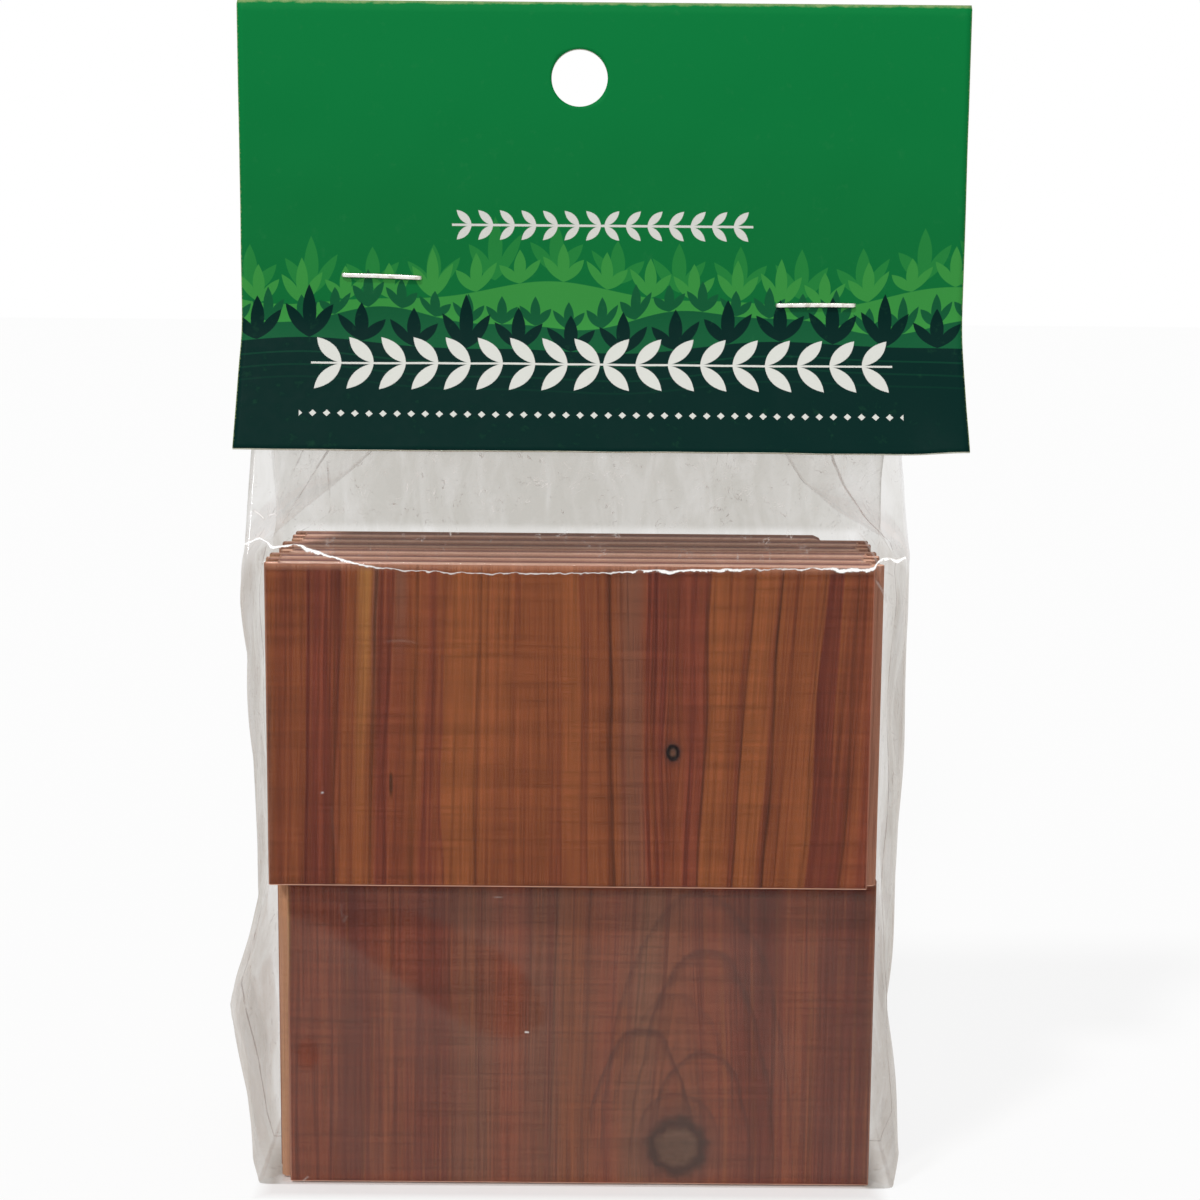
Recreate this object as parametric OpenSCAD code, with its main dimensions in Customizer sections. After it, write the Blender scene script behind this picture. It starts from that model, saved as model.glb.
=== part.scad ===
// Hang pack of cedar closet planks: two rows of tongued and grooved planks stand in a
// clear gusseted bag, and a folded card header is stapled over the bag's mouth.
// Millimetres, +Z up, front towards -Y. The origin is on the ground below the pack's middle.

/* [Planks] */
// Width of a plank over its tongue
plank_w = 95; // [70:0.5:130]
// Height of a plank, along its grain
plank_h = 50.8; // [35:0.1:80]
// Thickness of a plank
plank_t = 6.35; // [5:0.05:10]
// How far the tongue stands out of its edge
tongue_d = 1.6; // [0.8:0.1:3]
// Thickness of the tongue
tongue_t = 2.2; // [1.5:0.1:3]
// Room that the groove leaves round a tongue
tongue_play = 0.2; // [0.05:0.05:0.5]
// Chamfer along the long edges of both faces
edge_ease = 0.3; // [0.1:0.05:0.8]
// Air between neighbours in a row
plank_gap = 0.15; // [0.05:0.05:0.5]
// Air under each row
seat_gap = 0.1; // [0.05:0.05:0.3]
// How far the lower row stands behind the upper row
row_step = 5; // [0:0.5:6]
// Width of the corner broken off the rearmost upper plank
chip_w = 7; // [3:0.5:12]
// Height of the corner broken off the rearmost upper plank
chip_h = 9; // [4:0.5:20]

/* [Bag] */
// Thickness of the film, drawn stouter than the real film of 0.05 mm
film_t = 0.2; // [0.1:0.05:0.4]
// Room beside the planks on each side, up to the outside of the bag
side_slack = 3.3; // [2:0.1:8]
// Air between the film and the planks, in front, behind and above
film_gap = 0.3; // [0.2:0.05:1]
// How far each side gusset is tucked in where the bag lies flat
gusset_d = 22.2; // [15:0.1:30]
// Height above the shoulder at which the gussets start to tuck in
gusset_lift = 1; // [0.5:0.5:4]
// Height from the shoulder to the pinch, where the front meets the back
pinch_rise = 34; // [25:0.5:50]
// How far the bag's mouth reaches above the pinch
mouth_rise = 16; // [13:0.5:24]

/* [Header] */
// How far the card reaches past the bag on each side
card_overhang = 6.4; // [2:0.1:15]
// How far the card sits to the right of the bag's middle
card_shift = 3.8; // [-5:0.1:5]
// Thickness of the card
card_t = 0.42; // [0.3:0.02:0.8]
// Height of the fold's top above the pinch
card_rise = 51.2; // [35:0.2:70]
// Length of each panel below the pinch, along its slope
card_flare = 21.5; // [8:0.5:26]
// Radius of the soft bend in each panel at the pinch
bend_r = 12; // [6:1:20]
// Air between the card and the film
card_gap = 0.1; // [0.05:0.05:0.3]
// Diameter of the hang hole
hole_d = 8.8; // [6:0.2:12]
// Depth of the hang hole's centre below the fold's top
hole_drop = 11.6; // [8:0.2:20]

/* [Staples] */
// Width of a staple's crown
crown_w = 12.8; // [10:0.1:14]
// Width of the flattened wire
wire_w = 0.7; // [0.4:0.05:1]
// Thickness of the flattened wire
wire_t = 0.5; // [0.3:0.05:0.8]
// Inside radius of the wire's bends
wire_bend = 0.2; // [0.1:0.05:0.4]
// Length of each leg's clinched end
clinch_l = 4.2; // [2:0.1:5]
// Room round a leg in the slot that it cuts
leg_play = 0.05; // [0.02:0.01:0.2]
// From the card's left edge to the middle of the left staple
left_inset = 22.3; // [12:0.1:40]
// From the card's right edge to the middle of the right staple
right_inset = 23.3; // [12:0.1:40]
// Height of the left staple above the pinch
left_rise = 8.6; // [6:0.1:12]
// Height of the right staple above the pinch
right_rise = 4.6; // [4.4:0.1:12]
// Tilt of the left staple, its left end up
left_tilt = 1.6; // [-3:0.1:3]
// Tilt of the right staple, its left end up
right_tilt = -0.5; // [-3:0.1:3]

/* [Hidden] */
// Sideways shuffle of each plank, front to rear
upper_shift = [0, -0.6, 0.5, -0.3, 0.6, 0.2];
lower_shift = [0.5, -0.2, 0.3, -0.5, 0.1, -0.3];
// Which planks stand with the tongue on the left, front to rear
upper_flip = [false, false, true, false, true, false];
lower_flip = [true, false, false, true, false, true];
row_count = len(upper_shift);

upper_names = [for (k = [1:row_count]) str("upper_plank_", k)];
lower_names = [for (k = [1:row_count]) str("lower_plank_", k)];

$fn = 64;
// Overshoot of a cutting shape past the face that it cuts
over = 1;
// Steps that follow the curved crease of a gusset
crease_steps = 4;
// Steps round a panel's soft bend, and round the card's fold
bend_steps = 8;
fold_steps = 16;

board_green = [0.07, 0.45, 0.24];
cedar_red = [0.60, 0.34, 0.25];
film_clear = [0.86, 0.88, 0.86, 0.35];
wire_silver = [0.75, 0.75, 0.76];

// Rows: the upper one in front, the lower one behind, both centred together on Y = 0
row_d = row_count * plank_t + (row_count - 1) * plank_gap;
upper_front = -(row_d + row_step) / 2;
upper_back = upper_front + row_d;
lower_front = upper_front + row_step;
lower_back = lower_front + row_d;
lower_z = film_t + seat_gap;
lower_top = lower_z + plank_h;
upper_z = lower_top + seat_gap;
upper_top = upper_z + plank_h;

// Bag: heights of its folds, and the slopes from the shoulder to the pinch
bag_w = plank_w + 2 * side_slack;
shoulder_z = upper_top + film_gap;
gusset_z = shoulder_z + gusset_lift;
pinch_z = shoulder_z + pinch_rise;
mouth_z = pinch_z + mouth_rise;
front_y = upper_front - film_gap;
back_y = upper_back + film_gap;
front_flare = atan((-front_y - film_t) / pinch_rise);
back_flare = atan((back_y - film_t) / pinch_rise);
bag_d = lower_back - upper_front + 2 * (film_gap + film_t);

// Header: the middle of each panel runs this far from the pack's middle plane
panel_y = 2 * film_t + card_gap + card_t / 2;
card_w = bag_w + 2 * card_overhang;
card_top = pinch_z + card_rise;
fold_z = card_top - panel_y - card_t / 2;
hole_z = card_top - hole_drop;
face_y = panel_y + card_t / 2;

// The bag is parted for its bend a little below the card's lower edges
card_low_z = min(edge_z(front_flare), edge_z(back_flare));
bend_z = card_low_z - film_gap;

left_x = card_shift - card_w / 2 + left_inset;
right_x = card_shift + card_w / 2 - right_inset;
left_z = pinch_z + left_rise;
right_z = pinch_z + right_rise;

// Height at which a line that runs along a panel turns outward, at a distance d from the film's inside
function turn_z(d, flare) = pinch_z + d * tan(flare / 2);

// Lowest height of a panel's lower edge
function edge_z(flare) =
    turn_z(panel_y - film_t, flare) - card_flare * cos(flare) - card_t / 2 * sin(flare);

// A convex outline, counter-clockwise, moved outward by d with its corners kept sharp
function side_normal(a, b) = let (along = (b - a) / norm(b - a)) [along[1], -along[0]];
function grown(points, d) =
    let (count = len(points))
    [for (i = [0:count - 1])
        let (
            before = side_normal(points[(i + count - 1) % count], points[i]),
            after = side_normal(points[i], points[(i + 1) % count])
        )
        points[i] + d * (before + after) / (1 + before * after)
    ];

// Half the depth of the bag at a height between the shoulder and the pinch
function half_depth(z) = (back_y - front_y) / 2 * (pinch_z - z) / pinch_rise + film_t;

// How far the gusset is tucked in at that height
function tuck(z) = gusset_d * sqrt(max(0, 1 - pow(half_depth(z) / half_depth(gusset_z), 2)));

// The right gusset's crease, from the start of the tuck up to the pinch
crease = [for (k = [0:crease_steps])
    let (z = gusset_z + (pinch_z - gusset_z) * k / crease_steps)
    [bag_w / 2 - (k == crease_steps ? gusset_d : tuck(z)), z]
];

// Inside outline of the bag from the side, in Y and Z
bag_side = [
    [lower_front - film_gap, film_t],
    [lower_back + film_gap, film_t],
    [lower_back + film_gap, lower_top],
    [back_y, shoulder_z],
    [film_t, pinch_z],
    [-film_t, pinch_z],
    [front_y, shoulder_z],
    [front_y, upper_z]
];

// The middle of one panel towards -Y, from its lower edge up through its bend, in Y and Z
function panel_path(flare) =
    let (
        turn = [-panel_y, turn_z(panel_y - film_t, flare)],
        centre = turn + [-bend_r, bend_r * tan(flare / 2)]
    )
    concat(
        [turn - card_flare * [sin(flare), cos(flare)]],
        arc_points(centre, bend_r, -flare, 0, bend_steps)
    );

function arc_points(centre, r, from, to, steps) =
    [for (k = [0:steps])
        let (turned = from + (to - from) * k / steps)
        centre + r * [cos(turned), sin(turned)]
    ];

function backwards(list) = [for (i = [len(list) - 1:-1:0]) list[i]];

// The middle of the whole card, up the front panel, over the fold and down the back panel
card_path = concat(
    panel_path(front_flare),
    arc_points([0, fold_z], panel_y, 180, 0, fold_steps),
    [for (p = backwards(panel_path(back_flare))) [-p[0], p[1]]]
);

// Outline of a strip of thickness t along a path
function ribbon(path, t) =
    let (
        last = len(path) - 1,
        normals = [for (i = [1:last]) side_normal(path[i - 1], path[i])],
        mitres = [for (i = [0:last])
            let (before = normals[max(i - 1, 0)], after = normals[min(i, last - 1)])
            (before + after) / (1 + before * after)
        ]
    )
    concat(
        [for (i = [0:last]) path[i] + t / 2 * mitres[i]],
        [for (i = [last:-1:0]) path[i] - t / 2 * mitres[i]]
    );

// Extrude an outline in Y and Z along X, and one in X and Z along Y, both centred
module along_x(length) {
    rotate([90, 0, 90])
        linear_extrude(length, center = true)
            children();
}

module along_y(length) {
    rotate([90, 0, 0])
        linear_extrude(length, center = true)
            children();
}

// Keep what lies between two heights
module between(low, high) {
    intersection() {
        children();
        translate([-card_w, -card_w, low])
            cube([2 * card_w, 2 * card_w, high - low]);
    }
}

// Cross-section of a plank from above, tongue to the right, groove to the left
module plank_outline() {
    half_w = plank_w / 2;
    face_x = half_w - tongue_d;
    half_t = plank_t / 2;
    tongue_y = tongue_t / 2;
    nose = tongue_t / 4;
    groove_y = tongue_y + tongue_play;
    groove_x = -half_w + tongue_d + tongue_play;
    polygon([
        [-half_w + edge_ease, -half_t],
        [face_x - edge_ease, -half_t],
        [face_x, -half_t + edge_ease],
        [face_x, -tongue_y],
        [half_w - nose, -tongue_y],
        [half_w, -tongue_y + nose],
        [half_w, tongue_y - nose],
        [half_w - nose, tongue_y],
        [face_x, tongue_y],
        [face_x, half_t - edge_ease],
        [face_x - edge_ease, half_t],
        [-half_w + edge_ease, half_t],
        [-half_w, half_t - edge_ease],
        [-half_w, groove_y],
        [groove_x, groove_y],
        [groove_x, -groove_y],
        [-half_w, -groove_y],
        [-half_w, -half_t + edge_ease]
    ]);
}

// One plank on end, its lower front edge on the origin, grain upright
module plank(flipped) {
    color(cedar_red)
        translate([0, plank_t / 2, 0])
            mirror([flipped ? 1 : 0, 0, 0])
                linear_extrude(plank_h)
                    plank_outline();
}

// What a split took off a plank's top right corner, in X and Z from that corner
module broken_corner() {
    along_y(4 * plank_t)
        polygon([
            [over, over],
            [-chip_w, over],
            [-0.8 * chip_w, -0.3 * chip_h],
            [-0.4 * chip_w, -0.5 * chip_h],
            [-0.3 * chip_w, -0.9 * chip_h],
            [over, -chip_h]
        ]);
}

// Front face of the plank at place k in its row, counted from the front
function plank_y(front, k) = front + (k - 1) * (plank_t + plank_gap);

module upper_plank(k) {
    difference() {
        translate([upper_shift[k - 1], plank_y(upper_front, k), upper_z])
            plank(upper_flip[k - 1]);
        if (k == row_count)
            translate([upper_shift[k - 1] + plank_w / 2, plank_y(upper_front, k), upper_top])
                broken_corner();
    }
}

module lower_plank(k) {
    translate([lower_shift[k - 1], plank_y(lower_front, k), lower_z])
        plank(lower_flip[k - 1]);
}

// Room inside the bag: the side outline, narrowed by the tucked gussets, open at the mouth
module bag_room() {
    inner_crease = [for (p = crease) [p[0] - film_t, p[1] - film_t]];
    half = concat(
        [[bag_w / 2 - film_t, -over]],
        inner_crease,
        [[bag_w / 2 - gusset_d - film_t, mouth_z + over]]
    );
    other_half = [for (p = backwards(half)) [-p[0], p[1]]];
    intersection() {
        along_x(bag_w)
            union() {
                polygon(bag_side);
                translate([-film_t, pinch_z - film_t])
                    square([2 * film_t, mouth_rise + over + film_t]);
            }
        along_y(2 * bag_d)
            polygon(concat(half, other_half));
    }
}

// Open fold outside one tucked gusset, between the front film and the back film
module gusset_fold() {
    outside = bag_w / 2 + over;
    intersection() {
        along_x(2 * outside)
            polygon(bag_side);
        along_y(2 * bag_d)
            polygon(concat([[outside, gusset_z]], crease, [[outside, pinch_z]]));
    }
}

// The whole bag: box below, sloping shoulders, gussets tucked in, mouth pressed flat
module bag() {
    color(film_clear)
        difference() {
            union() {
                along_x(bag_w)
                    polygon(grown(bag_side, film_t));
                translate([-bag_w / 2, -2 * film_t, pinch_z - film_t])
                    cube([bag_w, 4 * film_t, mouth_rise + film_t]);
            }
            bag_room();
            gusset_fold();
            mirror([1, 0, 0])
                gusset_fold();
        }
}

module bag_pouch() {
    between(-over, shoulder_z)
        bag();
}

module bag_neck() {
    between(shoulder_z, bend_z)
        bag();
}

module bag_mouth() {
    difference() {
        between(bend_z, mouth_z + over)
            bag();
        leg_slots();
    }
}

module header_card() {
    color(board_green)
        difference() {
            translate([card_shift, 0, 0])
                along_x(card_w)
                    polygon(ribbon(card_path, card_t));
            translate([0, 0, hole_z])
                rotate([90, 0, 0])
                    cylinder(h = 2 * bag_d, d = hole_d, center = true);
            leg_slots();
        }
}

// A quarter bend of the flat wire round the Z axis, from -Y to +X
module wire_corner() {
    rotate([0, 0, -90])
        rotate_extrude(angle = 90)
            translate([wire_bend, -wire_w / 2])
                square([wire_t, wire_w]);
}

// Right half of a staple from above: crown on Y = 0, leg through the stack, end clinched inward
module half_staple() {
    stack = 2 * face_y;
    bend_x = crown_w / 2 - wire_t - wire_bend;
    translate([0, -wire_t, -wire_w / 2])
        cube([bend_x, wire_t, wire_w]);
    translate([bend_x, wire_bend, 0])
        wire_corner();
    translate([crown_w / 2 - wire_t, wire_bend, -wire_w / 2])
        cube([wire_t, stack - 2 * wire_bend, wire_w]);
    translate([bend_x, stack - wire_bend, 0])
        mirror([0, 1, 0])
            wire_corner();
    translate([bend_x - clinch_l, stack, -wire_w / 2])
        difference() {
            cube([clinch_l, wire_t, wire_w]);
            rotate([0, 0, 45])
                translate([-wire_w, 0, -over])
                    cube([wire_w, wire_t * 2, wire_w + 2 * over]);
        }
}

// Put something where a staple stands on the front panel
module at_staple(x, z, tilt) {
    translate([x, -face_y, z])
        rotate([0, tilt, 0])
            children();
}

module staple(x, z, tilt) {
    color(wire_silver)
        at_staple(x, z, tilt)
            union() {
                half_staple();
                mirror([1, 0, 0])
                    half_staple();
            }
}

module staple_left() {
    staple(left_x, left_z, left_tilt);
}

module staple_right() {
    staple(right_x, right_z, right_tilt);
}

// Slots that the two staples' legs cut through the card and the film
module leg_slots() {
    slot_w = wire_t + wire_bend + 2 * leg_play;
    slot_h = wire_w + 2 * leg_play;
    for (place = [[left_x, left_z, left_tilt], [right_x, right_z, right_tilt]])
        at_staple(place[0], place[1], place[2])
            for (side = [-1, 1])
                translate([side * (crown_w / 2 + leg_play - slot_w / 2), face_y, 0])
                    cube([slot_w, 2 * face_y + 2 * over, slot_h], center = true);
}

header_card();
staple_left();
staple_right();
bag_mouth();
bag_neck();
bag_pouch();
for (k = [1:row_count]) {
    upper_plank(k);
    lower_plank(k);
}
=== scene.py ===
from math import cos, pi, radians, sin, tan

import bpy
import numpy as np
from mathutils import Matrix, Vector


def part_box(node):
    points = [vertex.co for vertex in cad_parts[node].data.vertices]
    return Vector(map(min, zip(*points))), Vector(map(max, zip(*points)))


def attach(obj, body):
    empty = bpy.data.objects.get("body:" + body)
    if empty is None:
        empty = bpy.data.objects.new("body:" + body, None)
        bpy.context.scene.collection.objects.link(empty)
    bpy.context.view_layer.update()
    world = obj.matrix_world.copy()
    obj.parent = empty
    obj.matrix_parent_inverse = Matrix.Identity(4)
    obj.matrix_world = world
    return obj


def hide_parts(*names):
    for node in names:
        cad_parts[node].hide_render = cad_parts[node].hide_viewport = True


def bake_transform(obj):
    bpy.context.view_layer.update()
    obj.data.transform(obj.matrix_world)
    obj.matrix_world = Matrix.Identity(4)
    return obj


# Hang pack of cedar planks: clear gusseted bag, folded card header, two staples and twelve planks.
# Lengths below are in millimetres in the CAD frame, and become metres where a mesh is made.

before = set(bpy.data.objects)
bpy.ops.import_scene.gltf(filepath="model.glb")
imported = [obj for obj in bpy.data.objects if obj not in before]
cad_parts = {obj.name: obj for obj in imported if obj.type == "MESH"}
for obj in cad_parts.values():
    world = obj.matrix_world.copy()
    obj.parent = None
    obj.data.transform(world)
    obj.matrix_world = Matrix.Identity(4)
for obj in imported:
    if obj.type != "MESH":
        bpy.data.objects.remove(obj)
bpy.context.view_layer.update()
mm = 0.001


def gridFaces(rows, cols, wrap=False):
    # four corners of every cell of a grid, row by row; wrap joins the last column to the first
    r, c = np.meshgrid(np.arange(rows - 1), np.arange(cols if wrap else cols - 1), indexing="ij")
    n = (c + 1) % cols
    return np.stack([r * cols + c, r * cols + n, (r + 1) * cols + n, (r + 1) * cols + c], -1).reshape(-1, 4)


def makePiece(name, points, faces, materials, slots=None, smooth=True):
    # points are N x 3 in millimetres, faces a list of corner lists, slots one material number a face
    mesh = bpy.data.meshes.new(name)
    mesh.from_pydata((np.asarray(points) * mm).tolist(), [], [list(f) for f in faces])
    for material in materials:
        mesh.materials.append(material)
    if slots is not None:
        mesh.polygons.foreach_set("material_index", np.asarray(slots, dtype=np.int32))
    mesh.polygons.foreach_set("use_smooth", np.full(len(mesh.polygons), smooth))
    mesh.update()
    piece = bpy.data.objects.new(name, mesh)
    bpy.context.scene.collection.objects.link(piece)
    return piece


def setField(piece, name, values):
    # one number a vertex, or three, that the piece's material reads
    values = np.asarray(values, dtype=np.float32)
    kind = "FLOAT" if values.ndim == 1 else "FLOAT_VECTOR"
    field = piece.data.attributes.new(name, kind, "POINT")
    field.data.foreach_set("value" if values.ndim == 1 else "vector", values.ravel())


def ripple(u, v, seed, size, count=14):
    # sum of sine waves in random directions, each about size long, scaled to stay near -1..1
    dice = np.random.default_rng(seed)
    turns = dice.uniform(0, 2 * pi, count)
    phases = dice.uniform(0, 2 * pi, count)
    lengths = size * dice.uniform(0.7, 1.5, count)
    total = np.zeros(np.broadcast(u, v).shape)
    for turn, phase, length in zip(turns, phases, lengths):
        total += np.sin(2 * pi / length * (u * cos(turn) + v * sin(turn)) + phase)
    return total / (0.5 * count) ** 0.5 / 1.6


def ease(x, low, high):
    # 0 below low, 1 above high, and a smooth step between
    t = np.clip((x - low) / (high - low), 0, 1)
    return t * t * (3 - 2 * t)


class Recipe:
    # a material and short ways to add nodes to it; inputs are sockets or plain values

    def __init__(self, name):
        self.material = bpy.data.materials.new(name)
        self.material.use_nodes = True
        self.tree = self.material.node_tree
        self.tree.nodes.clear()

    def add(self, kind, inputs=None, **settings):
        # one node, its inputs linked where they are sockets and set where they are values
        node = self.tree.nodes.new("ShaderNode" + kind)
        for key, value in settings.items():
            setattr(node, key, value)
        for key, value in (inputs or {}).items():
            if isinstance(value, bpy.types.NodeSocket):
                self.tree.links.new(value, node.inputs[key])
            else:
                node.inputs[key].default_value = value
        return node

    def maths(self, operation, a, b=0.0, c=0.0, clamp=False):
        node = self.add("Math", {0: a, 1: b, 2: c}, operation=operation, use_clamp=clamp)
        return node.outputs[0]

    def vector(self, operation, a, b=(0, 0, 0)):
        node = self.add("VectorMath", {0: a, 1: b}, operation=operation)
        return node.outputs["Value" if operation in ("LENGTH", "DOT_PRODUCT") else "Vector"]

    def noise(self, where, scale, detail=3.0, rough=0.55, twist=0.0):
        inputs = {"Vector": where, "Scale": scale, "Detail": detail, "Roughness": rough, "Distortion": twist}
        return self.add("TexNoise", inputs).outputs["Fac"]

    def fit(self, value, low, high, first=0.0, last=1.0, shape="LINEAR"):
        inputs = {"Value": value, "From Min": low, "From Max": high, "To Min": first, "To Max": last}
        return self.add("MapRange", inputs, interpolation_type=shape).outputs["Result"]

    def ramp(self, value, stops, shape="LINEAR"):
        # colour by value, from stops of (place, colour) in rising order
        node = self.add("ValToRGB", {"Fac": value})
        node.color_ramp.interpolation = shape
        marks = node.color_ramp.elements
        while len(marks) < len(stops):
            marks.new(1.0)
        for mark, (position, colour) in zip(marks, stops):
            mark.position = position
            mark.color = colour
        return node.outputs["Color"]

    def blend(self, share, first, second, mode="MIX"):
        node = self.add("Mix", data_type="RGBA", blend_type=mode)
        for key, value in ((0, share), (6, first), (7, second)):
            if isinstance(value, bpy.types.NodeSocket):
                self.tree.links.new(value, node.inputs[key])
            else:
                node.inputs[key].default_value = value
        return node.outputs[2]

    def shade(self, colour, value, low, high):
        # the colour times a factor that runs between two stops of the value: (place, red, green, blue)
        factor = self.ramp(value, [(low[0], (*low[1:], 1)), (high[0], (*high[1:], 1))])
        return self.blend(1.0, colour, factor, "MULTIPLY")

    def objectMm(self):
        # position in the CAD frame, in millimetres
        where = self.add("TexCoord").outputs["Object"]
        return self.vector("MULTIPLY", where, (1000, 1000, 1000))

    def field(self, name, output="Fac"):
        return self.add("Attribute", attribute_name=name).outputs[output]

    def stretch(self, where, across, deep, tall):
        return self.vector("MULTIPLY", where, (across, deep, tall))

    def finish(self, shader):
        self.add("OutputMaterial", {"Surface": shader})
        return self.material


def tone(red, green, blue):
    # a colour as seen on screen, 0..255, made linear
    levels = np.array([red, green, blue]) / 255
    linear = np.where(levels < 0.04045, levels / 12.92, ((levels + 0.055) / 1.055) ** 2.4)
    return (*[float(v) for v in linear], 1.0)


cedarTones = {
    "amber": tone(133, 76, 43),
    "russet": tone(122, 67, 39),
    "rose": tone(119, 60, 42),
    "plum": tone(99, 46, 36),
    "wine": tone(84, 36, 28),
    "clay": tone(115, 73, 55),
    "straw": tone(153, 103, 56),
    "sap": tone(186, 147, 95),
}

plank = dict(width=95.0, height=50.8, thick=6.35, tongue=1.6, tongueThick=2.2, play=0.2, ease=0.32,
             endRound=0.28, gap=0.15)

# Streaks: (mm from the middle of the face, tone) from left to right. Rings: (mm, darkness) of single dark
# lines. Arches: (middle x, middle z, half width, half height, darkness) of grain that arches over a knot.
frontLooks = {
    "upper_plank_1": dict(
        streaks=[(-47.4, "clay"), (-46.8, "russet"), (-42, "russet"), (-39, "rose"), (-36.2, "rose"),
                 (-35.2, "russet"), (-33, "amber"), (-31, "russet"), (-29.2, "rose"), (-24.6, "russet"),
                 (-22.4, "rose"), (-19, "amber"), (-14, "amber"), (-6, "russet"), (1, "amber"), (6, "russet"),
                 (8.6, "clay"), (9.9, "clay"), (11.8, "rose"), (13.4, "rose"), (15, "plum"), (17, "rose"),
                 (19.6, "rose"), (20.6, "amber"), (25, "russet"), (27, "amber"), (30, "amber"),
                 (33, "russet"), (36, "amber"), (40, "russet"), (43, "russet"), (46, "rose")],
        bands=[(-41.5, -39.6, 0.3, "plum", 0.8), (-38.2, -36.5, 0.25, "wine", 0.7),
               (-41.4, -41.1, 0.2, "wine", 0.6), (-30.3, -28.9, 0.3, "plum", 0.5),
               (-28.8, -28.5, 0.15, "wine", 0.7), (-22.7, -21.5, 0.3, "plum", 0.6),
               (-20.4, -20.1, 0.15, "plum", 0.6), (-9.5, -9.0, 0.3, "plum", 0.3),
               (1.2, 2.0, 0.3, "plum", 0.45), (11.6, 12.1, 0.15, "wine", 0.7),
               (12.7, 13.4, 0.2, "wine", 0.75), (15.5, 16.3, 0.25, "wine", 0.6),
               (17.6, 18.0, 0.2, "plum", 0.6), (25.1, 25.9, 0.3, "plum", 0.5), (29.9, 30.6, 0.3, "plum", 0.6),
               (37.5, 39.9, 0.3, "plum", 0.8), (37.6, 38.3, 0.2, "wine", 0.6),
               (46.3, 46.9, 0.15, "wine", 0.7)],
        fading=[(-32.9, 1.7, 101, 58, "straw"), (-31.0, 1.0, 101, 72, "clay"), (10.2, 1.3, 56, 88, "clay"),
                (-27.6, 1.4, 98, 84, "clay"), (14.2, 2.2, 100, 70, "plum"), (41.2, 1.6, 52, 80, "plum")],
        rings=[(-36.4, 0.6), (-30.9, 0.9), (-24.6, 0.7), (-14.6, 0.95), (5.9, 0.9), (20.2, 0.95),
               (26.1, 0.75), (30.8, 0.75), (36.9, 0.6), (42.8, 0.75)],
        knots=[dict(x=15.3, z=72.9, reach=0.85, tall=1.3, swell=2.6, spread=4.2, eye=True)],
        arches=[], slit=(-28.3, 67.6),
        lean=[(-47, -0.6), (-30, -1.4), (-14.6, -0.9), (5.8, 1.1), (12, 0.5), (20, -0.9), (26, -2.2),
              (30.6, -2.8), (37, -3.2), (42, -2.2), (47, -0.4)]),
    "lower_plank_1": dict(
        streaks=[(-47.5, "sap"), (-46.3, "sap"), (-45.9, "rose"), (-40, "rose"), (-36, "plum"),
                 (-30, "rose"), (-22, "plum"), (-16, "clay"), (-10, "rose"), (-4, "clay"),
                 (0, "russet"), (6, "rose"), (12, "clay"), (20, "rose"), (28, "plum"),
                 (34, "rose"), (40, "plum"), (47, "plum")],
        fading=[(-5.4, 3.0, 40, -12, "clay"), (30, 2.4, 44, 20, "wine"), (44.5, 1.8, 48, -10, "wine")],
        bands=[(-44.7, -44.4, 0.2, "wine", 0.5), (-42.2, -41.9, 0.2, "wine", 0.4),
               (-39.4, -39.1, 0.2, "wine", 0.45), (-36.6, -35.9, 0.3, "wine", 0.4),
               (-34.2, -33.9, 0.2, "wine", 0.4), (-29.6, -29.3, 0.2, "wine", 0.45),
               (-25.4, -24.9, 0.2, "wine", 0.4), (-22.3, -21.9, 0.2, "wine", 0.4),
               (-15.6, -15.2, 0.2, "wine", 0.4)],
        rings=[(-32, 0.3), (-19.5, 0.45), (-12, 0.35), (-3.2, 0.5), (2.2, 0.5), (27, 0.35), (31.5, 0.45),
               (37, 0.4)],
        knots=[dict(x=17.0, z=6.7, reach=3.9, tall=1.04, swell=9.0, spread=11.0, eye=False)],
        arches=[(11.0, 6, 8.2, 20.4, 0.55), (20.8, 5, 8.0, 18.3, 0.5), (21.0, 3, 11.4, 36.2, 0.5),
                (17, 6, 6.6, 9.6, 0.4), (16.5, 5, 10.4, 27, 0.25), (20, 2, 15.5, 47, 0.4)],
        slit=None, lean=[(-47, -0.3), (47, -0.3)]),
}


def plainLook(seed, middle):
    # a look for a plank whose faces hardly show: streaks, rings and perhaps a knot at random places
    dice = np.random.default_rng(seed)
    names = ["amber", "russet", "rose", "plum", "clay", "russet", "rose", "wine"]
    edges = np.sort(dice.uniform(-46, 46, 17))
    streaks = [(-47.5, "sap" if seed % 3 == 0 else "russet")]
    streaks += [(float(x), names[dice.integers(len(names))]) for x in edges]
    streaks += [(46.4, "rose"), (47.4, "straw" if seed % 4 == 1 else "plum")]
    rings = [(float(x), float(dice.uniform(0.4, 0.9))) for x in np.sort(dice.uniform(-44, 44, 10))]
    knots = []
    if seed % 2:
        spot = middle + dice.uniform(-20, 20, 3)
        knots = [dict(x=float(spot[0]), z=float(spot[2]), reach=float(dice.uniform(0.8, 3)),
                      tall=1.1, swell=4.0, spread=7.0, eye=True)]
    fading = [(float(dice.uniform(-44, 44)), float(dice.uniform(1, 2.5)), middle[2] - 26, middle[2] + 30,
               "straw" if seed % 3 == 1 else "wine") for _ in range(3)]
    lean = [(x, float(dice.uniform(-2, 2))) for x in (-47, 0, 47)]
    return dict(streaks=streaks, bands=[], fading=fading, rings=rings, knots=knots, arches=[], slit=None,
                lean=lean)


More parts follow.
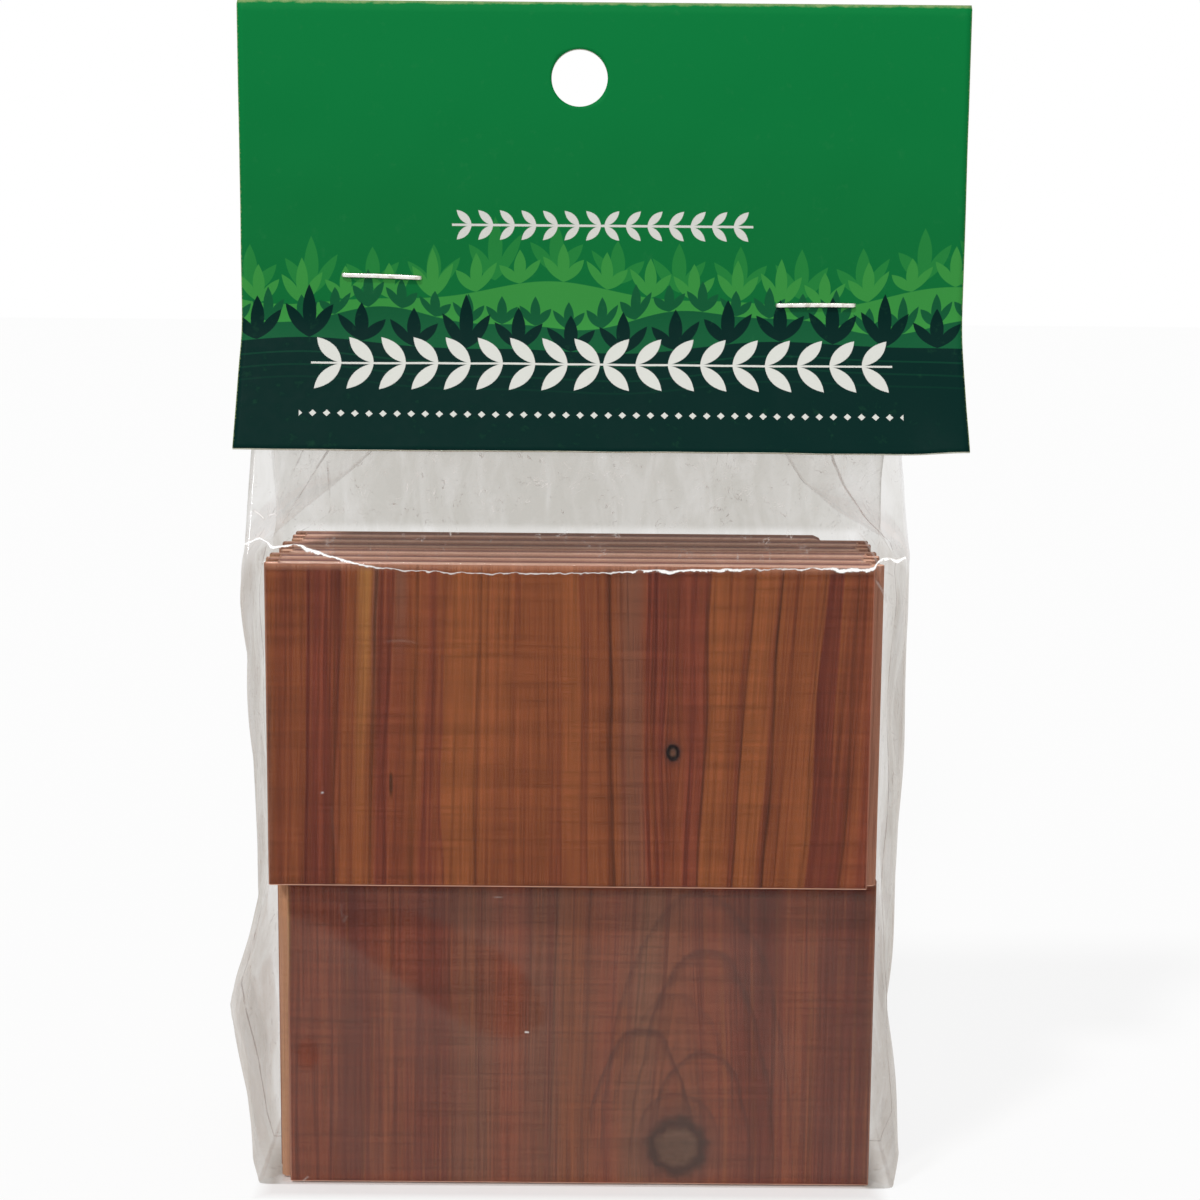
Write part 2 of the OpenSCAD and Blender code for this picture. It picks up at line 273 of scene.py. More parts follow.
def cedarFace(name, look):
    # Long grain. The field "grain" holds the place across the face after the wood's own bends, the height,
    # and the place through the thickness. Streaks are a ramp over the first, rings are thin lines of it,
    # and noise drawn out along the second makes the fibres.
    r = Recipe(name)
    grain = r.field("grain", "Vector")
    across = r.add("SeparateXYZ", {0: grain}).outputs[0]
    sway = r.noise(r.stretch(grain, 0.16, 0.02, 0.2), 1.0, 2.0)
    bent = r.maths("ADD", across, r.fit(sway, 0.3, 0.7, -0.7, 0.7))
    place = r.maths("MULTIPLY_ADD", bent, 1 / plank["width"], 0.5)
    stops = [(x / plank["width"] + 0.5, cedarTones[t]) for x, t in look["streaks"]]
    colour = r.ramp(place, stops, "EASE")
    # streaks that fade up or down the face: (place, half width, z where full, z where gone, tone)
    tall = r.add("SeparateXYZ", {0: grain}).outputs[1]
    for x, wide, full, gone, shade in look["fading"]:
        share = r.fit(r.maths("ABSOLUTE", r.maths("SUBTRACT", bent, x)), wide, wide * 0.2, 0, 1, "SMOOTHSTEP")
        share = r.maths("MULTIPLY", share, r.fit(tall, gone, full, 0, 0.95))
        colour = r.blend(share, colour, cedarTones[shade])
    # bands with clear edges: (left, right, softness of the edge, tone, share)
    for left, right, soft, shade, most in look["bands"]:
        share = r.fit(bent, left - soft, left, 0, most)
        share = r.maths("MULTIPLY", share, r.fit(bent, right + soft, right, 0, 1))
        colour = r.blend(share, colour, cedarTones[shade])
    # broad shifts of tone up the face
    drift = r.noise(r.stretch(grain, 0.12, 0.012, 0.1), 1.0, 2.0)
    colour = r.blend(r.fit(drift, 0.5, 0.75, 0, 0.35), colour, cedarTones["plum"])
    colour = r.blend(r.fit(drift, 0.45, 0.25, 0, 0.35), colour, cedarTones["amber"])
    # irregular purple heartwood bands, narrow streaks and fibres
    band = r.noise(r.stretch(grain, 0.42, 0.005, 0.3), 1.0, 5.0, 0.68)
    colour = r.blend(r.fit(band, 0.53, 0.62, 0, 0.4), colour, cedarTones["plum"])
    colour = r.blend(r.fit(band, 0.45, 0.36, 0, 0.4), colour, cedarTones["amber"])
    thread = r.noise(r.stretch(grain, 1.15, 0.012, 0.5), 1.0, 4.0, 0.6)
    colour = r.blend(r.fit(thread, 0.52, 0.68, 0, 0.5), colour, cedarTones["wine"])
    colour = r.blend(r.fit(thread, 0.46, 0.32, 0, 0.4), colour, cedarTones["amber"])
    fibre = r.noise(r.stretch(grain, 3.4, 0.045, 1.4), 1.0, 4.0, 0.65)
    colour = r.shade(colour, fibre, (0.3, 0.7, 0.68, 0.66), (0.68, 1.22, 1.21, 1.19))
    # rings: one thin dark line each, stronger and weaker along its length
    lines = [(0.0, (0, 0, 0, 1))]
    for x, dark in look["rings"]:
        at = x / plank["width"] + 0.5
        lines += [(at - 0.005, (0, 0, 0, 1)), (at, (dark, dark, dark, 1)), (at + 0.002, (0, 0, 0, 1))]
    ringMask = r.ramp(place, lines[:31])
    fade = r.fit(r.noise(r.stretch(grain, 0.3, 0.05, 0.3), 1.0, 2.0), 0.3, 0.6, 0.75, 1.1)
    colour = r.blend(r.maths("MULTIPLY", ringMask, fade, clamp=True), colour, tone(44, 18, 15))
    # arches over a knot: thin lines of an ellipse, its upper half only
    here = r.objectMm()
    wobble = r.noise(r.stretch(here, 0.12, 0.0, 0.12), 1.0, 1.0)
    height = r.add("SeparateXYZ", {0: here}).outputs[2]
    for cx, cz, rx, rz, dark in look["arches"]:
        flat = r.stretch(r.vector("SUBTRACT", here, (cx, 0, cz)), 1 / rx, 0, 1 / rz)
        off = r.maths("MULTIPLY_ADD", r.vector("LENGTH", flat), rx, r.fit(wobble, 0, 1, -rx - 0.9, -rx + 0.9))
        line = r.maths("MULTIPLY", r.fit(off, -0.7, 0.0, 0, dark), r.fit(off, 0.3, 0.0, 0, 1))
        line = r.maths("MULTIPLY", line, r.fit(height, cz, cz + 6, 0, 1))
        colour = r.blend(line, colour, tone(62, 32, 30))
    # knots: a greyish heart, a dark blurred rim, a halo, and in a small one a black eye
    for knot in look["knots"]:
        flat = r.vector("SUBTRACT", here, (knot["x"], 0, knot["z"]))
        flat = r.stretch(flat, 1 / knot["reach"], 0, 1 / (knot["reach"] * knot["tall"]))
        rough = r.noise(r.stretch(here, 2.2 / knot["reach"], 0.0, 2.2 / knot["reach"]), 1.0, 3.0)
        far = r.maths("ADD", r.vector("LENGTH", flat), r.fit(rough, 0, 1, -0.3, 0.3))
        colour = r.blend(r.fit(far, 2.3, 1.1, 0, 0.55, "SMOOTHSTEP"), colour, tone(78, 47, 42))
        mottle = r.noise(here, 1.6, 4.0, 0.7)
        heart = r.blend(r.fit(mottle, 0.35, 0.65, 0, 1), tone(78, 57, 46), tone(98, 73, 60))
        colour = r.blend(r.fit(far, 1.05, 0.7, 0, 0.9, "SMOOTHSTEP"), colour, heart)
        rim = r.fit(far, 0.66, 1.0, 0, 0.85, "SMOOTHSTEP")
        rim = r.maths("MULTIPLY", rim, r.fit(far, 1.5, 1.0, 0, 1, "SMOOTHSTEP"))
        colour = r.blend(rim, colour, tone(44, 29, 27))
        if knot["eye"]:
            dark = r.maths("MULTIPLY", r.fit(far, 0.4, 0.7, 0, 1), r.fit(far, 1.35, 1.05, 0, 0.95))
            colour = r.blend(dark, colour, tone(20, 13, 12))
            colour = r.blend(r.fit(far, 0.5, 0.3, 0, 0.8), colour, tone(98, 64, 48))
    if look["slit"]:
        flat = r.vector("SUBTRACT", here, (look["slit"][0], 0, look["slit"][1]))
        far = r.vector("LENGTH", r.stretch(flat, 2.6, 0, 0.4))
        colour = r.blend(r.fit(far, 1.0, 0.5, 0, 0.85, "SMOOTHSTEP"), colour, tone(62, 34, 20))
    # planer marks across the grain, and the paler worn edges
    marks = r.noise(r.stretch(here, 0.03, 0.0, 1.0), 1.0, 4.0, 0.8)
    colour = r.shade(colour, marks, (0.36, 0.8, 0.8, 0.79), (0.62, 1.17, 1.17, 1.17))
    worn = r.maths("MULTIPLY", r.field("worn"), r.fit(fibre, 0.25, 0.6, 0.45, 1.0))
    colour = r.blend(r.maths("MULTIPLY", worn, 0.75), colour, tone(196, 142, 116))
    relief = r.maths("ADD", r.maths("MULTIPLY", fibre, 0.6), r.maths("MULTIPLY", marks, 0.5))
    relief = r.maths("SUBTRACT", relief, r.maths("MULTIPLY", ringMask, 0.35))
    bump = r.add("Bump", {"Height": relief, "Strength": 0.2, "Distance": 0.00006})
    rough = r.fit(thread, 0.3, 0.7, 0.55, 0.66)
    shader = r.add("BsdfPrincipled", {"Base Color": colour, "Roughness": rough, "Normal": bump.outputs[0]})
    shader.inputs["Specular IOR Level"].default_value = 0.09
    return r.finish(shader.outputs[0])


def cedarEnd(name, seed):
    # End grain: rings are circles about a heart far behind the plank, cut by fine pores; a painted
    # shade darkens the back of each end, for the shadow in the gap to the next plank; the sawn edges are
    # pale.
    r = Recipe(name)
    here = r.objectMm()
    dice = np.random.default_rng(seed)
    heart = (float(dice.uniform(-30, 30)), float(dice.uniform(40, 70)), 0)
    flat = r.stretch(r.vector("SUBTRACT", here, heart), 1, 1, 0)
    away = r.maths("ADD", r.vector("LENGTH", flat), r.fit(r.noise(here, 0.12, 2.0), 0, 1, -3, 3))
    band = r.noise(r.add("CombineXYZ", {0: away}).outputs[0], 0.9, 3.0, 0.7)
    colour = r.ramp(band, [(0.34, tone(226, 164, 146)), (0.5, tone(244, 193, 172)),
                           (0.66, tone(252, 214, 194))])
    pore = r.noise(here, 4.5, 3.0, 0.7)
    colour = r.shade(colour, pore, (0.3, 0.72, 0.7, 0.7), (0.65, 1.15, 1.15, 1.15))
    deep = r.field("deep")
    # painted shade: the back of each end darkens, standing in for the shadow between neighbouring planks
    colour = r.blend(r.fit(deep, 0.64, 0.76, 0, 0.8, "SMOOTHSTEP"), colour, tone(112, 62, 62))
    colour = r.blend(r.maths("MULTIPLY", r.field("worn"), 0.6), colour, tone(222, 174, 146))
    bump = r.add("Bump", {"Height": pore, "Strength": 0.5, "Distance": 0.00015})
    shader = r.add("BsdfPrincipled", {"Base Color": colour, "Roughness": 0.75, "Normal": bump.outputs[0]})
    shader.inputs["Specular IOR Level"].default_value = 0.25
    return r.finish(shader.outputs[0])


def plankOutline(step):
    # front half of the tongue and groove outline from above, from the groove's floor round to the tongue's
    # tip, its long edges rounded by quarter circles; returned with the outward direction at each point and
    # the numbers of four marks on it: lip, shoulder over the groove's floor, end of the face, tongue's root
    half, deep = plank["width"] / 2, plank["thick"] / 2
    face, lip = half - plank["tongue"], plank["tongueThick"] / 2
    nose, groove = plank["tongueThick"] / 4, lip + plank["play"]
    floor = -half + plank["tongue"] + plank["play"]
    soft = plank["ease"]

    def corner(x, first):
        turn = np.radians(first + np.linspace(0, 90, 5))
        return np.stack([x + soft * np.cos(turn), -deep + soft + soft * np.sin(turn)], 1)

    def flat(a, b):
        x = np.linspace(a, b, max(2, int((b - a) / step)))[1:-1]
        return np.stack([x, np.full_like(x, -deep)], 1)

    parts = [[(floor, -groove), (-half, -groove)], corner(-half + soft, 180), [(floor, -deep)],
             flat(floor, face - soft), corner(face - soft, 270),
             [(face, -lip), (half - nose, -lip), (half, -lip + nose)]]
    points = np.concatenate([np.asarray(p, float) for p in parts])
    root = len(points) - 3
    closed = np.concatenate([points, points[::-1] * [1, -1]])
    before = closed - np.roll(closed, 1, 0)
    after = np.roll(closed, -1, 0) - closed
    before /= np.linalg.norm(before, axis=1)[:, None] + 1e-12
    after /= np.linalg.norm(after, axis=1)[:, None] + 1e-12
    out = np.stack([(before + after)[:, 1], -(before + after)[:, 0]], 1)
    out /= np.linalg.norm(out, axis=1)[:, None]
    return closed, out, dict(lip=1, shoulder=7, end=root - 1, root=root, half=len(points))


def capFaces(marks, first):
    # faces that close one end: the two lips of the groove, strips across the thickness, and the tongue
    count = marks["half"]
    front = lambda i: first + i
    back = lambda i: first + 2 * count - 1 - i
    lip, shoulder, end, root = marks["lip"], marks["shoulder"], marks["end"], marks["root"]
    faces = [[front(0)] + [front(i) for i in range(lip, shoulder + 1)],
             [back(i) for i in range(shoulder, lip - 1, -1)] + [back(0)]]
    faces.append([front(shoulder), front(shoulder + 1), back(shoulder + 1), back(shoulder),
                  back(0), front(0)])
    faces += [[front(i), front(i + 1), back(i + 1), back(i)] for i in range(shoulder + 1, end - 1)]
    faces.append([front(end - 1), front(end), front(root), back(root), back(end), back(end - 1)])
    faces += [[front(i), front(i + 1), back(i + 1), back(i)] for i in range(root, count - 1)]
    return faces


def grainPlace(x, z, look, middle):
    # place across the grain: x, plus a lean that changes over the width (mm to the right per 50 mm down),
    # less a swell on both sides of each knot that sends the grain round it
    bent = x + np.interp(x, *np.array(look["lean"]).T) * (z - middle[2]) / 50
    for knot in look["knots"]:
        dx, dz = x + middle[0] - knot["x"], z - knot["z"]
        far = np.hypot(dx, dz / 2.2)
        bent = bent - 0.5 * knot["swell"] * dx / (np.abs(dx) + 1.2) * np.exp(-(far / knot["spread"]) ** 1.4)
    return bent


def makePlank(name, flipped, seed, broken=False):
    # the outline carried up the height and drawn in a little at both ends, which are closed by cap faces
    low, high = [np.array(c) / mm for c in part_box(name)]
    middle = (low + high) / 2
    look = frontLooks.get(name) or plainLook(seed, middle)
    outline, outward, marks = plankOutline(1.0)
    soft, tall = plank["endRound"], plank["height"]
    turn = np.linspace(0, pi / 2, 5)
    body = np.linspace(soft, tall - soft, 58)[1:-1]
    heights = np.concatenate([soft * (1 - np.sin(turn)), body, tall - soft * (1 - np.sin(turn[::-1]))])
    heights[:5] = heights[:5][np.argsort(heights[:5])]
    drawn = np.concatenate([soft * (1 - np.sqrt(1 - (1 - heights[:5] / soft) ** 2)), 0 * body, np.zeros(5)])
    drawn[-5:] = drawn[:5][::-1]
    dice = np.random.default_rng(seed + 100)
    short = 0.0 if name in frontLooks or name.startswith("lower") else float(dice.uniform(0.0, 0.3))
    x = outline[None, :, 0] - outward[None, :, 0] * drawn[:, None]
    y = outline[None, :, 1] - outward[None, :, 1] * drawn[:, None]
    top = np.full(outline.shape[0], tall - short)
    if broken:
        fromEdge = plank["width"] / 2 - outline[:, 0]
        top -= np.interp(fromEdge, [0, 2.1, 2.8, 5.6, 7.0], [9, 8.1, 4.5, 2.7, 0])
        splinter = 0.3 * (ripple(fromEdge * 3, outline[:, 1] * 2, seed, 3.0) - 1.1)
        top += splinter * (fromEdge < 7)
    share = heights[:, None] / tall
    z = heights[:, None] - (tall - top)[None, :] * ease(share, 0.45, 1.0)
    # sawn faces a few hundredths of a millimetre hollow here and there
    hollow = 0.03 * (1.1 - ripple(x, z, seed, 26)) + 0.012 * (1.1 - ripple(x * 0.1, z, seed + 1, 2.4))
    y = y - np.sign(outline[None, :, 1]) * hollow * (np.abs(outward[None, :, 1]) > 0.9)
    rows, cols = x.shape
    sides = gridFaces(rows, cols, wrap=True)
    bottomCap = [face[::-1] for face in capFaces(marks, 0)]
    topCap = capFaces(marks, (rows - 1) * cols)
    faces = [list(f) for f in sides] + bottomCap + topCap
    mirror = -1 if flipped else 1
    if flipped:
        faces = [face[::-1] for face in faces]
    points = np.stack([mirror * x + middle[0], y + middle[1], z + low[2]], -1).reshape(-1, 3)
    # the rounded rows at each end are end grain too
    rowOf = sides[:, 0] // cols
    endRows = (rowOf < 3) | (rowOf >= rows - 4)
    slots = np.concatenate([endRows, np.ones(len(bottomCap) + len(topCap))]).astype(int)
    materials = [cedarFace(name + "_face", look), cedarEnd(name + "_end", seed)]
    piece = makePiece(name + "_wood", points, faces, materials, slots)
    piece.data.set_sharp_from_angle(angle=radians(32))
    across = points[:, 0] - middle[0]
    bent = grainPlace(across, points[:, 2], look, middle)
    setField(piece, "grain", np.stack([bent, points[:, 2], points[:, 1]], 1))
    nearEdge = ease(np.abs(outline[:, 1]), plank["thick"] / 2 - 0.34, plank["thick"] / 2 - 0.1)
    nearEdge = nearEdge * ((np.abs(outward[:, 0]) > 0.3) & (np.abs(outward[:, 1]) > 0.3))
    nearEnd = ease(np.minimum(heights, tall - heights), soft, 0.1)
    milled = 0.95 * (outline[:, 0] > plank["width"] / 2 - plank["tongue"] - 0.05)
    worn = np.maximum(np.maximum(0.6 * nearEdge, milled)[None, :], 0.9 * nearEnd[:, None])
    setField(piece, "worn", worn.ravel())
    # place through the thickness, 0 at the front face; the ends' painted shade is drawn by it
    setField(piece, "deep", (points[:, 1] - low[1]) / plank["thick"])
    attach(piece, name)
    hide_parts(name)
    return piece


# Card header: one sheet folded over the bag's mouth, its two skirts flared over the bag's shoulders.
card = dict(left=-53.4, right=61.0, thick=0.42, out=0.71, pinch=136.3, film=0.2, skirt=21.5, frontTurn=32.93,
            backTurn=26.6, bend=12.0, fold=186.58, holeX=0.0, holeZ=175.9, holeR=4.4, frameR=8.0)


def cardHalf(degreesOut):
    # mid-line of one panel from its lower edge to the fold, as (distance out from the middle, height):
    # a straight skirt, an arc of the bend radius, and a straight rise
    flare = radians(degreesOut)
    turn = np.array([card["out"], card["pinch"] + (card["out"] - card["film"]) * tan(flare / 2)])
    start = turn + card["skirt"] * np.array([sin(flare), -cos(flare)])
    centre = turn + card["bend"] * np.array([1, tan(flare / 2)])
    a = np.linspace(-flare, 0, 14)
    return np.vstack([start, centre + card["bend"] * np.stack([-np.cos(a), np.sin(a)], 1)])


def cardPath():
    # front half, half circle over the top, back half turned round; returned finely stepped with its length
    front, back = cardHalf(card["frontTurn"]), cardHalf(card["backTurn"])
    a = np.linspace(pi, 0, 17)
    top = np.stack([card["out"] * np.cos(a), card["fold"] + card["out"] * np.sin(a)], 1)
    path = np.vstack([front * [-1, 1], top, back[::-1]])
    length = np.concatenate([[0], np.cumsum(np.hypot(*np.diff(path, axis=0).T))])
    fine = np.linspace(0, length[-1], 1500)
    return fine, np.interp(fine, length, path[:, 0]), np.interp(fine, length, path[:, 1])


def steps(marks, step):
    # even steps of about this size between each pair of marks, the marks themselves kept
    runs = [np.linspace(a, b, max(1, round((b - a) / step)) + 1)[:-1] for a, b in zip(marks[:-1], marks[1:])]
    return np.concatenate(runs + [[marks[-1]]])


def cardWave(x, s, total, foldS, holes, staples):
    # slow waves of the sheet, none at the fold, the hole and the staples; the skirts only wave outwards,
    # and the front one's lower right corner curls
    wave = 0.3 * ripple(x, s, 11, 62) + 0.07 * ripple(x, s, 12, 15)
    still = ease(np.abs(s - foldS), 3, 22)
    for hole in holes:
        still = still * ease(np.hypot(x - card["holeX"], s - hole), 6, 20)
    for at in staples:
        still = still * ease(np.hypot(np.maximum(np.abs(x - at[0]) - 6, 0), s - at[1]), 1.0, 12)
    edge = np.minimum(s, total - s)
    skirt = ease(edge, card["skirt"], card["skirt"] * 0.6)
    out = wave * still
    out = out * (1 - skirt) + skirt * (np.abs(wave) * 0.9 + 0.05)
    curl = ease(x, card["right"] - 9, card["right"]) * ease(s, 9, 0)
    out += 0.7 * curl - 0.25 * ease(x, 30, 50) * ease(x, 61, 50) * ease(s, 12, 0)
    out += 0.5 * ease(x, card["left"] + 7, card["left"]) * ease(total - s, 8, 0)
    return out


def makeCard():
    # a grid over width and length of the sheet, with rings of cells round each hole, carried along the
    # folded mid-line and pushed off it by the waves; a modifier gives it the board's thickness
    fine, pathY, pathZ = cardPath()
    total, foldS = fine[-1], float(np.interp(0, pathY, fine))
    rising = pathY < 0
    holes = [float(np.interp(card["holeZ"], pathZ[rising], fine[rising])),
             float(np.interp(-card["holeZ"], -pathZ[~rising], fine[~rising]))]
    staples = [(p["x"], float(np.interp(p["z"], pathZ[rising], fine[rising]))) for p in staplePlaces.values()]
    square = card["frameR"]
    xs = steps([card["left"], card["holeX"] - square, card["holeX"] + square, card["right"]], 1.0)
    ss = steps([0, holes[0] - square, holes[0] + square, foldS - 2, foldS + 2,
                holes[1] - square, holes[1] + square, total], 1.0)
    s, x = np.meshgrid(ss, xs, indexing="ij")
    rows, cols = x.shape
    faces = gridFaces(rows, cols)
    centre = (x[:-1, :-1] + x[1:, 1:]) / 2, (s[:-1, :-1] + s[1:, 1:]) / 2
    keep = np.ones(centre[0].shape, bool)
    flatX, flatS = [x.ravel()], [s.ravel()]
    extra = []
    first = rows * cols
    for hole in holes:
        inside = (np.abs(centre[0] - card["holeX"]) < square) & (np.abs(centre[1] - hole) < square)
        keep &= ~inside
        c0, c1 = [int(np.argmin(np.abs(xs - card["holeX"] - d))) for d in (-square, square)]
        r0, r1 = [int(np.argmin(np.abs(ss - hole - d))) for d in (-square, square)]
        border = [r0 * cols + c for c in range(c0, c1)] + [r * cols + c1 for r in range(r0, r1)]
        border += [r1 * cols + c for c in range(c1, c0, -1)] + [r * cols + c0 for r in range(r1, r0, -1)]
        bx, bs = x.ravel()[border] - card["holeX"], s.ravel()[border] - hole
        reach = np.hypot(bx, bs)
        previous = np.array(border)
        for share in (0.75, 0.5, 0.28, 0.12, 0.0):
            far = card["holeR"] + (reach - card["holeR"]) * share
            flatX.append(card["holeX"] + bx / reach * far)
            flatS.append(hole + bs / reach * far)
            ring = first + np.arange(len(border))
            first += len(border)
            extra.append(np.stack([previous, np.roll(previous, -1), np.roll(ring, -1), ring], 1))
            previous = ring
    faces = np.vstack([faces[keep.ravel()]] + extra)
    x, s = np.concatenate(flatX), np.concatenate(flatS)
    used = np.unique(faces)
    renumber = np.full(len(x), -1)
    renumber[used] = np.arange(len(used))
    faces, x, s = renumber[faces], x[used], s[used]
    wave = cardWave(x, s, total, foldS, holes, staples)
    y, z = np.interp(s, fine, pathY), np.interp(s, fine, pathZ)
    stepY = np.interp(s + 0.3, fine, pathY) - np.interp(s - 0.3, fine, pathY)
    stepZ = np.interp(s + 0.3, fine, pathZ) - np.interp(s - 0.3, fine, pathZ)
    size = np.hypot(stepY, stepZ)
    points = np.stack([x, y - stepZ / size * wave, z + stepY / size * wave], 1)
    piece = makePiece("printed_card", points, faces, [cardPrint(), cardInner(), cardRim()])
    setField(piece, "print", np.stack([x - card["left"], np.abs(s - foldS), (s > foldS) * 1.0], 1))
    thick = piece.modifiers.new("thickness", "SOLIDIFY")
    thick.thickness, thick.offset = card["thick"] * mm, 0
    thick.material_offset, thick.material_offset_rim = 1, 2
    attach(piece, "header")
    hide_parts("header_card")
    return piece


def waveEdge(r, across, base, tall, length, start):
    # height of a wavy boundary below the fold: two sine waves of different length
    first = r.maths("SINE", r.maths("MULTIPLY_ADD", across, 2 * pi / length, start))
    second = r.maths("SINE", r.maths("MULTIPLY_ADD", across, 2 * pi / (length * 0.43), start * 2.3))
    wave = r.maths("MULTIPLY_ADD", second, 0.35, first)
    return r.maths("MULTIPLY_ADD", wave, tall, base)


def leaf(r, sideways, up, reach, wide, lean):
    # one plain leaf from a base point: a pointed oval, its width a parabola along its length, leaning over
    a = r.maths("MULTIPLY_ADD", up, -sin(lean), r.maths("MULTIPLY", sideways, cos(lean)))
    b = r.maths("MULTIPLY_ADD", up, cos(lean), r.maths("MULTIPLY", sideways, sin(lean)))
    along = r.maths("MULTIPLY_ADD", b, 2 / reach, -1.0)
    width = r.maths("MULTIPLY_ADD", r.maths("MULTIPLY", along, along), -wide, wide)
    return r.fit(r.maths("SUBTRACT", width, r.maths("ABSOLUTE", a)), -0.04, 0.06, 0, 1)


def sprigRow(r, across, down, edge, pitch, reach, wide, start):
    # a row of sprigs standing on a wavy edge, each of one upright leaf between two that lean out
    turn = r.maths("MULTIPLY_ADD", across, 1 / pitch, start)
    sideways = r.maths("MULTIPLY_ADD", r.maths("FRACT", turn), pitch, -pitch / 2)
    number = r.add("TexWhiteNoise", {"W": r.maths("FLOOR", turn)}, noise_dimensions="1D").outputs["Value"]
    up = r.maths("MULTIPLY", r.maths("SUBTRACT", edge, down), r.fit(number, 0, 1, 0.9, 1.35))
    row = leaf(r, sideways, up, reach, wide, 0.0)
    row = r.maths("MAXIMUM", row, leaf(r, sideways, up, reach * 0.8, wide * 0.85, 0.62))
    return r.maths("MAXIMUM", row, leaf(r, sideways, up, reach * 0.8, wide * 0.85, -0.62))


def garland(r, across, down, level, reach, pitch, long, wide, lean):
    # a level stem with a leaf above and one below at every pitch, all leaning away from the card's middle
    sideways = r.maths("ABSOLUTE", r.maths("SUBTRACT", across, (card["right"] - card["left"]) / 2))
    up = r.maths("ABSOLUTE", r.maths("SUBTRACT", level, down))
    cell = r.maths("FRACT", r.maths("MULTIPLY", sideways, 1 / pitch))
    local = r.maths("MULTIPLY_ADD", cell, pitch, -0.25)
    marks = r.maths("MAXIMUM", leaf(r, local, up, long, wide, lean), r.fit(up, 0.22, 0.14, 0, 1))
    return r.maths("MULTIPLY", marks, r.fit(sideways, reach, reach - 0.1, 0, 1))


def cardPrint():
    # printed face: green that deepens down the sheet, leaf rows and wavy bands over it, a dark foot,
    # and ink worn to pale paper along the fold and the corners
    r = Recipe("card_print")
    place = r.add("SeparateXYZ", {0: r.field("print", "Vector")}).outputs
    across, down = place[0], place[1]
    colour = r.ramp(r.maths("MULTIPLY", down, 1 / 70), [(0.0, tone(8, 117, 57)), (0.25, tone(8, 113, 55)),
                                                        (0.5, tone(11, 106, 52)), (0.72, tone(15, 101, 50))])
    light, middle, dark = tone(54, 136, 61), tone(18, 84, 50), tone(2, 35, 31)
    far = waveEdge(r, across, 45.5, 1.6, 71, 0.4)
    near = waveEdge(r, across, 49.5, 1.5, 53, 2.1)
    foot = waveEdge(r, across, 54.0, 1.1, 83, 4.0)
    pale, mid = tone(34, 121, 56), tone(13, 66, 46)
    colour = r.blend(sprigRow(r, across, down, r.maths("ADD", far, -1.2), 9.7, 9.0, 1.15, 0.35), colour, pale)
    colour = r.blend(sprigRow(r, across, down, far, 6.9, 7.0, 0.95, 0.1), colour, light)
    colour = r.blend(r.fit(r.maths("SUBTRACT", down, far), -0.06, 0.06, 0, 1), colour, light)
    colour = r.blend(sprigRow(r, across, down, near, 5.3, 5.4, 0.8, 0.7), colour, middle)
    colour = r.blend(r.fit(r.maths("SUBTRACT", down, near), -0.06, 0.06, 0, 1), colour, middle)
    colour = r.blend(sprigRow(r, across, down, foot, 8.3, 8.2, 1.1, 0.2), colour, dark)
    colour = r.blend(r.fit(r.maths("SUBTRACT", down, foot), -0.06, 0.06, 0, 1), colour, dark)
    below = r.maths("SUBTRACT", down, foot)
    for gap, share in ((2.6, 0.5), (5.0, 0.34), (7.2, 0.2)):
        stripe = r.fit(r.maths("ABSOLUTE", r.maths("SUBTRACT", below, gap)), 0.2, 0.12, 0, share)
        colour = r.blend(stripe, colour, mid)
    # three plain rows in pale ink, the middle one the largest
    pale = tone(205, 205, 199)
    colour = r.blend(garland(r, across, down, 34.6, 23.8, 3.4, 3.3, 0.62, 0.8), colour, pale)
    colour = r.blend(garland(r, across, down, 57.2, 45.9, 5.1, 6.2, 1.12, 0.72), colour, pale)
    turn = r.maths("FRACT", r.maths("MULTIPLY", across, 1 / 2.2))
    dot = r.maths("MULTIPLY_ADD", turn, 2.2, -1.1)
    off = r.maths("ADD", r.maths("ABSOLUTE", dot), r.maths("ABSOLUTE", r.maths("SUBTRACT", down, 66.2)))
    sideways = r.maths("ABSOLUTE", r.maths("SUBTRACT", across, (card["right"] - card["left"]) / 2))
    dots = r.maths("MULTIPLY", r.fit(off, 0.62, 0.54, 0, 1), r.fit(sideways, 47.3, 47.2, 0, 1))
    colour = r.blend(dots, colour, pale)
    # worn ink
    here = r.objectMm()
    scuff = r.noise(here, 0.55, 5.0, 0.65)
    fine = r.noise(here, 3.4, 4.0, 0.7)
    edge = r.fit(r.maths("MULTIPLY_ADD", r.maths("SUBTRACT", scuff, 0.5), 1.6, down), 0.75, 0.15, 0, 0.75)
    side = r.maths("MINIMUM", across, r.maths("SUBTRACT", card["right"] - card["left"], across))
    side = r.maths("MULTIPLY_ADD", r.maths("SUBTRACT", fine, 0.5), 0.7, side)
    edge = r.maths("MAXIMUM", edge, r.fit(side, 0.16, 0.0, 0, 0.7))
    colour = r.blend(edge, colour, tone(150, 168, 112))
    colour = r.blend(r.fit(scuff, 0.6, 0.8, 0, 0.1), colour, tone(70, 140, 90))
    dots = r.fit(fine, 0.3, 0.7, -0.004, 0.004)
    rough = r.maths("ADD", r.fit(scuff, 0.35, 0.65, 0.5, 0.6), dots)
    bump = r.add("Bump", {"Height": fine, "Strength": 0.12, "Distance": 0.00005})
    shader = r.add("BsdfPrincipled", {"Base Color": colour, "Roughness": rough, "Normal": bump.outputs[0]})
    shader.inputs["Specular IOR Level"].default_value = 0.04
    return r.finish(shader.outputs[0])


